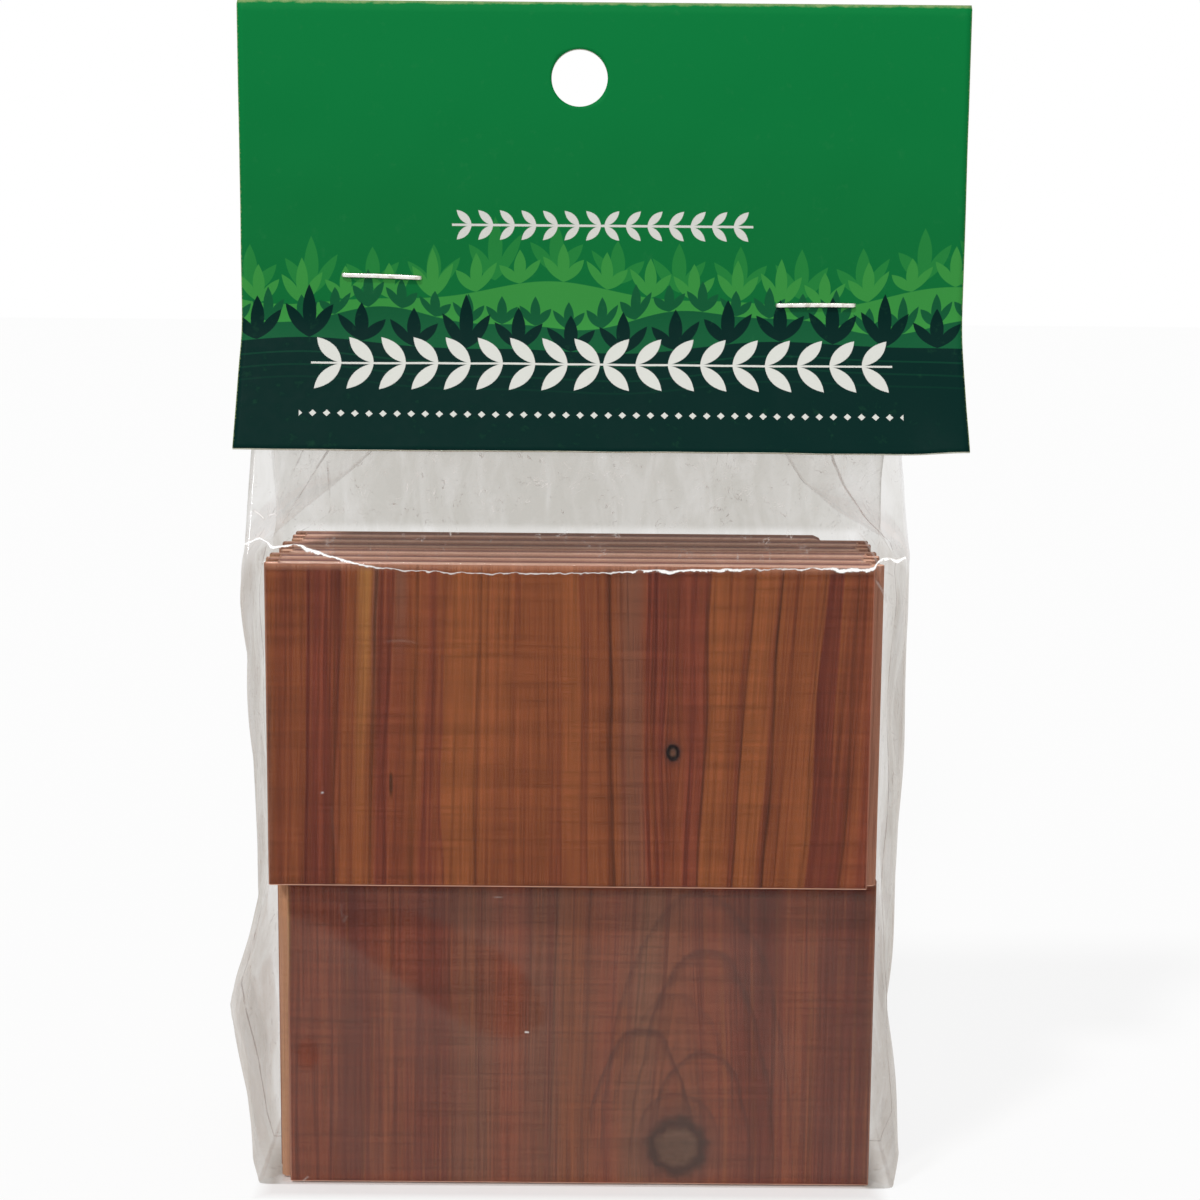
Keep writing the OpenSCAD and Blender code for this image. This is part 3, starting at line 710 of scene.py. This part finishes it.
def paper(name, colour, pale):
    # bare paper board: fine mottled fibres
    r = Recipe(name)
    here = r.objectMm()
    fibre = r.noise(r.stretch(here, 1.2, 4.0, 3.0), 1.0, 4.0, 0.7)
    shade = r.blend(r.fit(fibre, 0.3, 0.7, 0, 1), colour, pale)
    bump = r.add("Bump", {"Height": fibre, "Strength": 0.3, "Distance": 0.0001})
    shader = r.add("BsdfPrincipled", {"Base Color": shade, "Roughness": 0.85, "Normal": bump.outputs[0]})
    return r.finish(shader.outputs[0])


def cardInner():
    return paper("card_inner", tone(206, 202, 190), tone(228, 225, 214))


def cardRim():
    return paper("card_rim", tone(176, 182, 160), tone(222, 222, 206))


# Staples: flattened wire, crown on the front panel, legs through the stack, ends clinched inwards behind.
staplePlaces = {
    "staple_left": dict(x=-31.1, z=144.9, tilt=1.6, seed=3),
    "staple_right": dict(x=37.7, z=140.9, tilt=-0.5, seed=8),
}
wire = dict(crown=12.8, wide=0.7, thick=0.5, corner=0.16, bend=0.45, face=0.92, clinch=4.2)


def staplePath():
    # right half of the wire's middle line from above, then mirrored: crown, quarter bend, leg, quarter
    # bend, clinched end
    legX, front, back = wire["crown"] / 2 - 0.25, -wire["face"] - 0.25, wire["face"] + 0.25
    bend = wire["bend"]
    a = np.linspace(-pi / 2, 0, 7)
    first = np.stack([legX - bend + bend * np.cos(a), front + bend + bend * np.sin(a)], 1)
    b = np.linspace(0, pi / 2, 7)
    second = np.stack([legX - bend + bend * np.cos(b), back - bend + bend * np.sin(b)], 1)
    crown = np.stack([np.linspace(0, legX - bend, 24)[:-1], np.full(23, front)], 1)
    tip = np.stack([np.linspace(legX - bend, legX - bend - wire["clinch"], 8)[1:], np.full(7, back)], 1)
    half = np.vstack([crown, first, second, tip])
    return np.vstack([half[::-1] * [-1, 1], half[1:]])


def makeStaple(name, place):
    # a rounded oblong carried along the wire's middle line, turned with it, and closed at both ends
    path = staplePath()
    along = np.gradient(path, axis=0)
    along /= np.linalg.norm(along, axis=1)[:, None]
    side = np.stack([along[:, 1], -along[:, 0]], 1)
    # flat wire with rounded corners, drawn thinner to a chisel end over the last steps
    corner, count = wire["corner"], 4
    ring = []
    for cx, cz, first in ((1, 1, 0), (-1, 1, 90), (-1, -1, 180), (1, -1, 270)):
        a = np.radians(first + np.linspace(0, 90, count))
        ring.append(np.stack([cx * (wire["thick"] / 2 - corner) + corner * np.cos(a),
                              cz * (wire["wide"] / 2 - corner) + corner * np.sin(a)], 1))
    ring = np.concatenate(ring)[::-1]
    fromEnd = np.minimum(np.arange(len(path)), np.arange(len(path))[::-1])
    thin = np.interp(fromEnd, [0, 2], [0.35, 1.0])
    bow = 0.07 * np.cos(path[:, 0] / wire["crown"] * pi) * (path[:, 1] < 0)
    x = path[:, None, 0] + side[:, None, 0] * ring[None, :, 0] * thin[:, None]
    y = path[:, None, 1] + side[:, None, 1] * ring[None, :, 0] * thin[:, None]
    z = ring[None, :, 1] + bow[:, None] + 0 * x
    tilt = radians(place["tilt"])
    x, z = place["x"] + x * cos(tilt) + z * sin(tilt), place["z"] - x * sin(tilt) + z * cos(tilt)
    points = np.stack([x, y, z], -1)
    rows, cols = x.shape
    faces = [list(f) for f in gridFaces(rows, cols, wrap=True)]
    faces += [list(range(cols))[::-1], [(rows - 1) * cols + c for c in range(cols)]]
    piece = makePiece(name + "_wire", points.reshape(-1, 3), faces, [brightWire(name, place["seed"])])
    piece.data.set_sharp_from_angle(angle=radians(40))
    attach(piece, "header")
    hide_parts(name)
    return piece


def brightWire(name, seed):
    # plated steel wire: fine lines along it, a few dull patches
    r = Recipe(name + "_steel")
    here = r.vector("ADD", r.objectMm(), (seed * 7.0, 0, 0))
    lines = r.noise(r.stretch(here, 0.6, 9.0, 9.0), 1.0, 3.0, 0.6)
    dull = r.noise(here, 1.1, 3.0)
    colour = r.blend(r.fit(dull, 0.42, 0.7, 0, 1), tone(240, 238, 232), tone(196, 190, 180))
    rough = r.maths("ADD", r.fit(lines, 0.3, 0.7, 0.16, 0.34), r.fit(dull, 0.45, 0.7, 0, 0.14))
    bump = r.add("Bump", {"Height": lines, "Strength": 0.3, "Distance": 0.00005})
    shader = r.add("BsdfPrincipled", {"Base Color": colour, "Roughness": rough, "Normal": bump.outputs[0]})
    shader.inputs["Metallic"].default_value = 0.8
    return r.finish(shader.outputs[0])


# Film bag, as one closed-bottomed tube round the planks. Tables give, by height, where its four vertical
# folds stand and how deep the side gussets are tucked in.
film = dict(
    columns=(144, 46, 92, 46), bottom=0.12,
    # the nearest that the film may come to the planks: sides, and front and back of the lower and upper row
    clear=49.25, lowerFront=-17.1, upperFront=-22.08, lowerBack=22.08, upperBack=17.1,
    # heights between which the film blends from the pouch to the header, and its gloss
    blendLow=102.3, blendHigh=116.8, mirror=1.2, mirrorMost=0.13,
    left=[(0, -50.7), (3.8, -51.4), (14, -50.9), (27, -51.6), (38, -50.4), (50, -49.4), (58, -49.4),
          (80, -50.2), (96, -50.9), (104.5, -50.5), (117, -50.6), (152, -50.6)],
    right=[(0, 52.2), (5.7, 52.9), (18, 51.6), (32.5, 50.0), (55, 50.6), (94, 51.0), (104, 51.2),
           (112, 50.6), (152, 50.6)],
    front=[(0, -17.45), (2, -17.6), (49.6, -22.2), (51.3, -22.3), (56, -22.16), (94, -22.16),
           (100.4, -22.36), (102.2, -22.22), (103.2, -21.6), (136.3, -0.35), (152, -0.35)],
    back=[(0, 22.25), (50.2, 22.2), (51.4, 22.05), (101.4, 17.35), (102.6, 17.25), (136.3, 0.35),
          (152, 0.35)],
    leftTuck=[(0, 0), (101.6, 0), (104.2, 2.3), (117, 17.6), (121, 21.6), (136.3, 22.1), (152, 22.1)],
    rightTuck=[(0, 0), (101.0, 0), (104.3, 2.6), (107.8, 9.0), (113, 14.7), (116.8, 17.1), (136.3, 22.1),
               (152, 22.1)],
    # the ear low on the left side: where its tip stands, its half sizes and how far it sticks out
    ear=dict(y=-5.0, z=27.0, tall=23.5, deep=20.0, out=4.4, ridge=0.6),
    # the film resting on the lower front plank, between an upper curve and a lower line of (x, z)
    restTop=[(-48, 52), (-27.3, 48.3), (-18.5, 44.1), (-11.1, 40.0), (-6.5, 35.5), (-4.2, 30.5)],
    restFoot=[(-48, 47.2), (-44.3, 46.2), (-38.8, 44.4), (-37.7, 43.2), (-23.0, 32.2), (-14.5, 26.5),
              (-8.0, 25.8), (-4.2, 28.5)],
    restSpot=(-42.0, 22.6, 2.6),
    # the painted highlight along the shoulder, a white line, as (x, z), and its strength as (x, share)
    shoulder=[(-52, 104.0), (-50.3, 104.9), (-48.4, 105.6), (-46.2, 104.4), (-41.9, 104.5), (-37.3, 103.1),
              (-32.8, 101.9), (-26.7, 101.1), (-20.6, 100.9), (-14.5, 100.7), (3.8, 101.0), (19.1, 101.5),
              (31.3, 101.7), (40.4, 101.9), (45.3, 101.8), (46.2, 102.8), (47.2, 103.4), (48.8, 103.1),
              (50.3, 103.6), (52, 103.8)],
    bright=[(-52, 0.7), (-46, 1), (-34, 0.9), (-29, 0.5), (-14, 0.42), (4, 0.45), (9, 0.85), (25, 0.8),
            (29, 0.4), (37, 0.7), (42, 1)],
    # short scratches and pinches of the front film, painted white as highlights: (x, z, half length, half
    # width, turn, strength)
    marks=[(-26.5, 90.2, 2.9, 0.26, -2, 0.12), (-37.3, 60.5, 4.6, 0.3, 98, 0.05),
           (-38.9, 66.2, 0.3, 0.2, 10, 0.6), (-7.2, 26.7, 0.45, 0.22, 0, 0.7),
           (-36.3, 46.9, 1.7, 0.35, 88, 0.12), (-35.8, 45.4, 0.8, 0.45, 60, 0.14),
           (-11.7, 49.7, 0.9, 0.18, 0, 0.3), (-42.9, 1.0, 0.9, 0.3, 45, 0.3),
           (-48.6, 109.0, 1.3, 0.24, -35, 0.7), (-46.6, 109.0, 0.8, 0.2, 12, 0.7),
           (46.9, 98.6, 2.4, 0.3, -62, 0.3), (45.2, 104.6, 3.8, 0.3, -60, 0.3)],
)


def table(rows, place):
    # straight lines between the rows of a table of (place, value)
    rows = np.asarray(rows, float)
    return np.interp(place, rows[:, 0], rows[:, 1])


def resting(x, z, soft=0.7):
    # where the film lies against the lower front plank, 0..1: below a curve and above a straight line that
    # run down to the right until they meet, and a small patch near the left edge
    upper, lower = table(film["restTop"], x), table(film["restFoot"], x)
    inside = np.minimum(np.minimum(upper - z, z - lower) * 0.8, film["restTop"][-1][0] - 0.1 - x)
    spotX, spotZ, spotR = film["restSpot"]
    small = spotR - np.hypot((x - spotX) * 1.5, z - spotZ)
    return ease(np.maximum(inside, small), -soft, soft)


def makeFilm():
    # rings round the pack, one above the other: each side runs straight between two of the four folds, a
    # gusset's middle is tucked inwards, and waves push the film outwards
    counts = film["columns"]
    side = np.concatenate([np.full(n, k) for k, n in enumerate(counts)])[None, :]
    s = np.concatenate([np.arange(n) / n for n in counts])[None, :]
    walls = np.concatenate([[film["bottom"], 0.2, 0.4, 0.75, 1.3],
                            np.arange(2.2, 49, 1.1), np.arange(49.4, 53, 0.4),
                            np.arange(54, 98.5, 1.3), np.arange(99, 107, 0.27), np.arange(107.5, 136, 0.85),
                            [136.3, 140, 144, 148, 152.0]])[:, None]
    z = walls + 0 * s
    left, right, front, back = [table(film[name], z) for name in ("left", "right", "front", "back")]
    fold = 1 - np.abs(2 * s - 1)
    rightX, leftX = right - table(film["rightTuck"], z) * fold, left + table(film["leftTuck"], z) * fold
    onSide = [side == 0, side == 1, side == 2]
    x = np.select(onSide, [left + (right - left) * s, rightX, right - (right - left) * s], leftX)
    y = np.select(onSide, [front, front + (back - front) * s, back], back - (back - front) * s)
    # the lower front film lies on the plank in two patches, and the sides belly out over the planks
    low = ease(z, 50.5, 46) * (side == 0)
    y = y + (-17.14 - y) * 0.4 * resting(x, z, 3.5) * low
    belly = np.sin(pi * s) * ease(z, 101, 92) * ease(z, 0, 6)
    x = x + (side == 1) * belly * (0.9 + 0.5 * ripple(y, z, 31, 30))
    # the ear low on the left side: a tent that peaks near the middle of the side, with ridges from its tip
    ear = film["ear"]
    up, over = z - ear["z"], y - ear["y"]
    rise = np.clip(1 - np.abs(up) / ear["tall"], 0, 1) * np.clip(1 - np.abs(over) / ear["deep"], 0, 1) ** 0.8
    around, away = np.arctan2(up, over), np.hypot(over, up)
    ridge = np.abs(np.sin(3.5 * around + 0.6)) * np.exp(-away / 14) * ease(away, 0.5, 5)
    x = x - (side == 3) * (belly * 0.4 + ear["out"] * rise + ear["ridge"] * ridge * rise ** 0.5)
    # soften the four folds, hardly at all where the tube is flat
    for _ in range(4):
        share = 0.5 * ease(z, 104, 98)
        x = x + share * ((np.roll(x, 1, 1) + np.roll(x, -1, 1)) / 2 - x)
        y = y + share * ((np.roll(y, 1, 1) + np.roll(y, -1, 1)) / 2 - y)
    # wrinkles along the outward direction
    stepC = np.stack([np.roll(v, -1, 1) - np.roll(v, 1, 1) for v in (x, y, z)], -1)
    stepR = np.stack([np.gradient(v, axis=0) for v in (x, y, z)], -1)
    out = np.cross(stepC, stepR)
    out /= np.linalg.norm(out, axis=-1, keepdims=True) + 1e-9
    loop = (side + s) * 50.0
    slack = 0.2 * ripple(loop, z * 0.6, 41, 40) + 0.05 * ripple(loop, z * 0.6, 42, 13)
    crumple = np.abs(ripple(loop, z * 0.7, 43, 26)) - 0.4
    amount = slack + 0.12 * crumple * ease(z, 100, 108) + 0.35 * crumple * ((side == 1) | (side == 3))
    amount = amount * ease(z, 118.5, 113) * ease(z, 0.5, 5)
    onWood = (side % 2 == 0) * ease(z, 104, 101)
    amount = amount * (1 - onWood) + np.maximum(amount, 0) * 0.35 * onWood
    x, y, z = x + out[..., 0] * amount, y + out[..., 1] * amount, z + out[..., 2] * amount
    # never inside the planks, at any place of theirs
    frontLimit = np.where(z > 50.9, film["upperFront"], film["lowerFront"])
    backLimit = np.where(z < 51.3, film["lowerBack"], film["upperBack"])
    y = np.where((side == 0) & (z < 102.3), np.minimum(y, frontLimit), y)
    y = np.where((side == 2) & (z < 102.3), np.maximum(y, backLimit), y)
    x = np.where((side == 1) & (z < 98), np.maximum(x, film["clear"]), x)
    x = np.where((side == 3) & (z < 98), np.minimum(x, -film["clear"]), x)
    rows, cols = x.shape
    # the bottom drawn in row by row, each side moving inwards by the same amount, and closed by a flat face
    middle, half = (x[0].max() + x[0].min()) / 2, (x[0].max() - x[0].min()) / 2
    mid, deep = (y[0].max() + y[0].min()) / 2, (y[0].max() - y[0].min()) / 2
    base = []
    for inset in np.linspace(1, 0.06, 9)[1:]:
        moved = deep * inset
        baseX = middle + (x[0] - middle) * (half - moved) / half
        baseY = mid + (y[0] - mid) * (deep - moved) / deep
        base.append(np.stack([baseX, baseY, np.full(cols, film["bottom"])], 1))
    points = np.concatenate(base + [np.stack([x, y, z], -1).reshape(-1, 3)])
    total = rows + len(base)
    faces = [list(f) for f in gridFaces(total, cols, wrap=True)] + [list(range(cols))[::-1]]
    piece = makePiece("film_bag", points, faces, [clearFilm()])
    # fields for the finish, which paints shade, reflection and highlights on the film
    sideAll, sAll = [np.repeat(v, total, 0).reshape(-1) for v in (side, s)]
    px, py, pz = points.T
    overWood = ease(np.abs(px), 49.0, 46.5) * ease(pz, 103.6, 101.8) * (sideAll % 2 == 0)
    atSide = sideAll % 2 == 1
    neck = ease(pz, 98, 106)
    # painted shade: a grey tint wherever no plank stands behind the film, deeper than clear film's own, for
    # the dim backdrop seen through the bag; in the neck it is strong on the front and back and slight on the
    # sides
    panel = 0.75 + 0.25 * neck - 0.3 * neck * ease(np.abs(px), 30, 44)
    backdropShade = (1 - overWood) * np.where(atSide, 0.9 - 0.86 * neck, panel)
    # painted reflection: a whitish share on the lower front film where it stands off the plank, for the
    # bright surroundings mirrored in it, clear where the film rests on the wood; a quarter weaker above 43.4
    # mm as painted shade that deepens the shadow under the upper row; and on the back film over the upper
    # planks
    paintedVeil = (1 - 0.7 * resting(px, pz)) * (0.75 + 0.25 * ease(pz, 43.4, 42.6))
    paintedVeil = np.where((sideAll == 0) & (pz < 51), paintedVeil * ease(pz, 51.5, 50) * ease(pz, -1, 3), 0)
    paintedVeil = np.where((sideAll == 2) & (pz > 51.5), ease(pz, 100, 90) * 0.8, paintedVeil)
    setField(piece, "backdropShade", backdropShade)
    setField(piece, "paintedVeil", paintedVeil)
    # signed distances in mm from the shoulder line, the gussets' inner folds and the four outer folds, along
    # which white lines are painted as highlights
    shoulder = np.where(sideAll == 0, pz - table(film["shoulder"], px), 9.0)
    inner = np.where(sideAll % 2 == 1, (sAll - 0.5) * 44, 9.0)
    width = np.where(sideAll % 2 == 0, 101.0, 44.0)
    outer = np.where(sAll < 0.5, sAll, sAll - 1) * width
    inner, outer = inner + 9 * neck, outer + 9 * neck
    setField(piece, "glints", np.stack([shoulder, inner, outer], 1))
    setField(piece, "front", (sideAll == 0) * 1.0)
    setField(piece, "bright", table(film["bright"], px))
    setField(piece, "gusset", atSide * 1.0)
    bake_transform(piece)
    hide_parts("bag_pouch", "bag_neck", "bag_mouth")
    return piece


def clearFilm():
    # one thin clear sheet: a grey tint over what shows through it as painted shade of the backdrop, a whitish
    # share as painted reflection, white creases as painted highlights, and gloss
    r = Recipe("clear_film")
    here = r.objectMm()
    marks = r.add("SeparateXYZ", {0: r.field("glints", "Vector")}).outputs
    broken = r.noise(here, 0.42, 4.0, 0.7)
    fine = r.noise(here, 0.42, 4.0, 0.62)

    def line(distance, wide, share, low, high):
        core = r.fit(r.maths("ABSOLUTE", distance), wide, wide * 0.35, 0, 1)
        return r.maths("MULTIPLY", core, r.fit(broken, low, high, 0, share))

    # painted highlight: a white line along the shoulder, jagged, broken, its width and strength set by the
    # bright table; thinner white lines along the gussets' inner folds and the four outer folds
    jag = r.maths("MULTIPLY_ADD", r.maths("SUBTRACT", fine, 0.5), 1.5, marks[0])
    bright = r.field("bright")
    thick = r.maths("MULTIPLY", r.fit(broken, 0.35, 0.62, 0.16, 0.42), bright)
    paintedGlint = r.fit(r.maths("DIVIDE", r.maths("ABSOLUTE", jag), thick), 1.0, 0.4, 0, 1)
    paintedGlint = r.maths("MULTIPLY", paintedGlint, r.fit(broken, 0.3, 0.42, 0.35, 1))
    paintedGlint = r.maths("MULTIPLY", paintedGlint, r.fit(bright, 0.4, 0.9, 0.7, 1))
    paintedGlint = r.maths("MAXIMUM", paintedGlint, line(marks[1], 0.42, 0.55, 0.3, 0.5))
    paintedGlint = r.maths("MAXIMUM", paintedGlint, line(marks[2], 0.26, 0.4, 0.45, 0.65))
    # painted highlights: pale pinches where the slack film is creased, away from the planks' faces
    pinch = r.noise(r.stretch(here, 0.16, 0.16, 0.09), 1.0, 4.0, 0.6, 1.6)
    pinch = r.maths("ABSOLUTE", r.maths("SUBTRACT", pinch, 0.5))
    pinch = r.maths("MULTIPLY", r.fit(pinch, 0.012, 0.002, 0, 0.5), r.fit(broken, 0.46, 0.6, 0, 1))
    paintedGlint = r.maths("MAXIMUM", paintedGlint, r.maths("MULTIPLY", pinch, r.field("backdropShade")))
    # painted highlights: short scratches and pinches on the front film, painted white
    for x, z, reach, wide, turn, strength in film["marks"]:
        apart = r.vector("SUBTRACT", here, (x, 0, z))
        along = r.vector("DOT_PRODUCT", apart, (cos(radians(turn)), 0, sin(radians(turn))))
        across = r.vector("DOT_PRODUCT", apart, (-sin(radians(turn)), 0, cos(radians(turn))))
        bow = r.maths("MULTIPLY_ADD", r.maths("MULTIPLY", along, along), 0.12 / reach, across)
        mark = r.maths("MULTIPLY", r.fit(r.maths("ABSOLUTE", bow), wide, wide * 0.3, 0, strength),
                       r.fit(r.maths("ABSOLUTE", along), reach, reach * 0.6, 0, 1))
        paintedGlint = r.maths("MAXIMUM", paintedGlint, r.maths("MULTIPLY", mark, r.field("front")))
    # painted shade: what shows through the film is greyed by the backdrop tint, mottled in streaks and warmer
    # on the gussets
    backdropShade = r.field("backdropShade")
    streak = r.noise(r.stretch(here, 0.22, 0.1, 0.05), 1.0, 4.0, 0.62, 0.8)
    mottled = r.maths("MULTIPLY", backdropShade, r.fit(streak, 0.34, 0.62, 0.55, 1.2))
    grey = r.blend(r.field("gusset"), (0.81, 0.805, 0.78, 1), (0.8, 0.77, 0.735, 1))
    tint = r.blend(mottled, (0.985, 0.985, 0.985, 1), grey)
    clear = r.add("BsdfTransparent", {"Color": tint})
    # painted reflection and painted shade: a whitish share from the lower film's painted reflection field,
    # mottled in clouds, and a grey share where the backdrop tint is
    cloud = r.fit(r.noise(r.stretch(here, 0.12, 0.12, 0.05), 1.0, 3.0), 0.3, 0.7, 0.75, 1.3)
    paintedLight = r.maths("MULTIPLY", r.maths("MULTIPLY", r.field("paintedVeil"), cloud), 0.13)
    paintedLight = r.maths("ADD", paintedLight, r.maths("MULTIPLY", backdropShade, 0.1))
    share = r.maths("MAXIMUM", paintedLight, paintedGlint)
    folds = r.noise(r.stretch(here, 0.16, 0.16, 0.06), 1.0, 4.0, 0.6, 1.2)
    bump = r.add("Bump", {"Height": folds, "Strength": 0.3, "Distance": 0.0004})
    # its colour: a dull grey-brown for the painted reflection and shade, white for the painted highlights
    paintedLight = r.blend(paintedGlint, tone(148, 128, 117), tone(248, 247, 245))
    paintedLightShader = r.add("BsdfPrincipled", {"Base Color": paintedLight, "Roughness": 0.5})
    paintedLightShader.inputs["Specular IOR Level"].default_value = 0.2
    body = r.add("MixShader", {0: share, 1: clear.outputs[0], 2: paintedLightShader.outputs[0]})
    gloss = r.add("BsdfGlossy", {"Color": (1, 1, 1, 1), "Roughness": 0.1, "Normal": bump.outputs[0]})
    mirror = r.add("Fresnel", {"IOR": film["mirror"], "Normal": bump.outputs[0]})
    mirror = r.maths("MINIMUM", mirror.outputs[0], film["mirrorMost"])
    shader = r.add("MixShader", {0: mirror, 1: body.outputs[0], 2: gloss.outputs[0]})
    return r.finish(shader.outputs[0])


# Lamps and white surround: strengths, degrees of spread, of height over the floor and of azimuth.
light = dict(world=0.39, key=1.85, keySpread=6.0, keyHigh=54.0, keySide=-36.0, fill=0.72, fillSpread=8.0,
             fillHigh=30.0, fillSide=-8.0, glow=0.86)


def makeStage():
    # floor that looks white to camera, gloss and clear rays and keeps a soft share of the object's shadow,
    # plain right under the pack, and a world that is white to the same rays
    bpy.ops.mesh.primitive_plane_add(size=6, location=(0, 0, 0))
    floor = bpy.context.object
    floor.name = "floor"
    r = Recipe("floor_white")
    plain = r.add("BsdfDiffuse", {"Color": (0.86, 0.86, 0.86, 1)})
    glow = r.add("Emission", {"Color": (1, 1, 1, 1), "Strength": 1.0})
    rays = r.add("LightPath").outputs
    spot = r.add("SeparateXYZ", {0: r.objectMm()}).outputs
    under = r.maths("SUBTRACT", r.maths("ABSOLUTE", spot[0]), 27.5)
    under = r.maths("MAXIMUM", under, r.maths("ABSOLUTE", spot[1]))
    shownShare = r.fit(under, 20.5, 23.5, 0, light["glow"])
    seen = r.maths("MAXIMUM", rays["Is Camera Ray"], rays["Is Glossy Ray"])
    seen = r.maths("MAXIMUM", seen, rays["Is Transmission Ray"])
    straight = r.maths("MULTIPLY", seen, shownShare)
    shader = r.add("MixShader", {0: straight, 1: plain.outputs[0], 2: glow.outputs[0]})
    floor.data.materials.append(r.finish(shader.outputs[0]))
    world = bpy.data.worlds.new("studio")
    bpy.context.scene.world = world
    world.use_nodes = True
    tree = world.node_tree
    tree.nodes.clear()
    white, soft = tree.nodes.new("ShaderNodeBackground"), tree.nodes.new("ShaderNodeBackground")
    white.inputs["Strength"].default_value = 1.0
    white.inputs["Color"].default_value = (1, 1, 1, 1)
    soft.inputs["Color"].default_value = (1, 1, 1, 1)
    soft.inputs["Strength"].default_value = light["world"]
    path, mix = tree.nodes.new("ShaderNodeLightPath"), tree.nodes.new("ShaderNodeMixShader")
    end = tree.nodes.new("ShaderNodeOutputWorld")
    seen = path.outputs["Is Camera Ray"]
    for ray in ("Is Glossy Ray", "Is Transmission Ray"):
        either = tree.nodes.new("ShaderNodeMath")
        either.operation = "MAXIMUM"
        tree.links.new(seen, either.inputs[0])
        tree.links.new(path.outputs[ray], either.inputs[1])
        seen = either.outputs[0]
    tree.links.new(seen, mix.inputs[0])
    tree.links.new(soft.outputs[0], mix.inputs[1])
    tree.links.new(white.outputs[0], mix.inputs[2])
    tree.links.new(mix.outputs[0], end.inputs[0])


def makeLamp(name):
    # a sun lamp, so that object and floor get the same light: azimuth from the front, height over the floor
    a, e = radians(light[name + "Side"]), radians(light[name + "High"])
    data = bpy.data.lights.new(name, "SUN")
    data.energy, data.angle = light[name], radians(light[name + "Spread"])
    lamp = bpy.data.objects.new(name, data)
    bpy.context.scene.collection.objects.link(lamp)
    back = Vector((sin(a) * cos(e), -cos(a) * cos(e), sin(e)))
    lamp.location = back
    lamp.rotation_mode = "QUATERNION"
    lamp.rotation_quaternion = (-back).to_track_quat("-Z", "Y")


# Camera, fitted to the photograph: place in millimetres, turns in radians, lens in millimetres.
view = dict(place=(3.468, -377.0, 155.27), down=0.16336, turn=-0.00106, roll=0.00831, lens=70.63, sensor=36)


def makeCamera():
    # looks along +Y, turned a little to the side, then down, then rolled about its own line of sight
    down, turn, roll = view["down"], view["turn"], view["roll"]
    ahead, across = Vector((-sin(turn), cos(turn), 0)), Vector((cos(turn), sin(turn), 0))
    forward = ahead * cos(down) - Vector((0, 0, sin(down)))
    upright = ahead * sin(down) + Vector((0, 0, cos(down)))
    right = across * cos(roll) + upright * sin(roll)
    up = upright * cos(roll) - across * sin(roll)
    data = bpy.data.cameras.new("camera")
    data.lens, data.sensor_width = view["lens"], view["sensor"]
    data.clip_start, data.clip_end = 0.02, 20
    camera = bpy.data.objects.new("camera", data)
    bpy.context.scene.collection.objects.link(camera)
    turned = Matrix((right, up, -forward)).transposed().to_4x4()
    camera.matrix_world = Matrix.Translation(Vector(view["place"]) * mm) @ turned
    bpy.context.scene.camera = camera


print("planks")
upperFlips = [False, False, True, False, True, False]
lowerFlips = [True, False, False, True, False, True]
for row in range(6):
    makePlank(f"upper_plank_{row + 1}", upperFlips[row], 20 + row, broken=row == 5)
    makePlank(f"lower_plank_{row + 1}", lowerFlips[row], 40 + row)
print("card and staples")
makeCard()
for name, place in staplePlaces.items():
    makeStaple(name, place)
print("film")
makeFilm()
print("stage")
makeStage()
makeLamp("key")
makeLamp("fill")
makeCamera()
scene = bpy.context.scene
scene.view_settings.view_transform = "Standard"
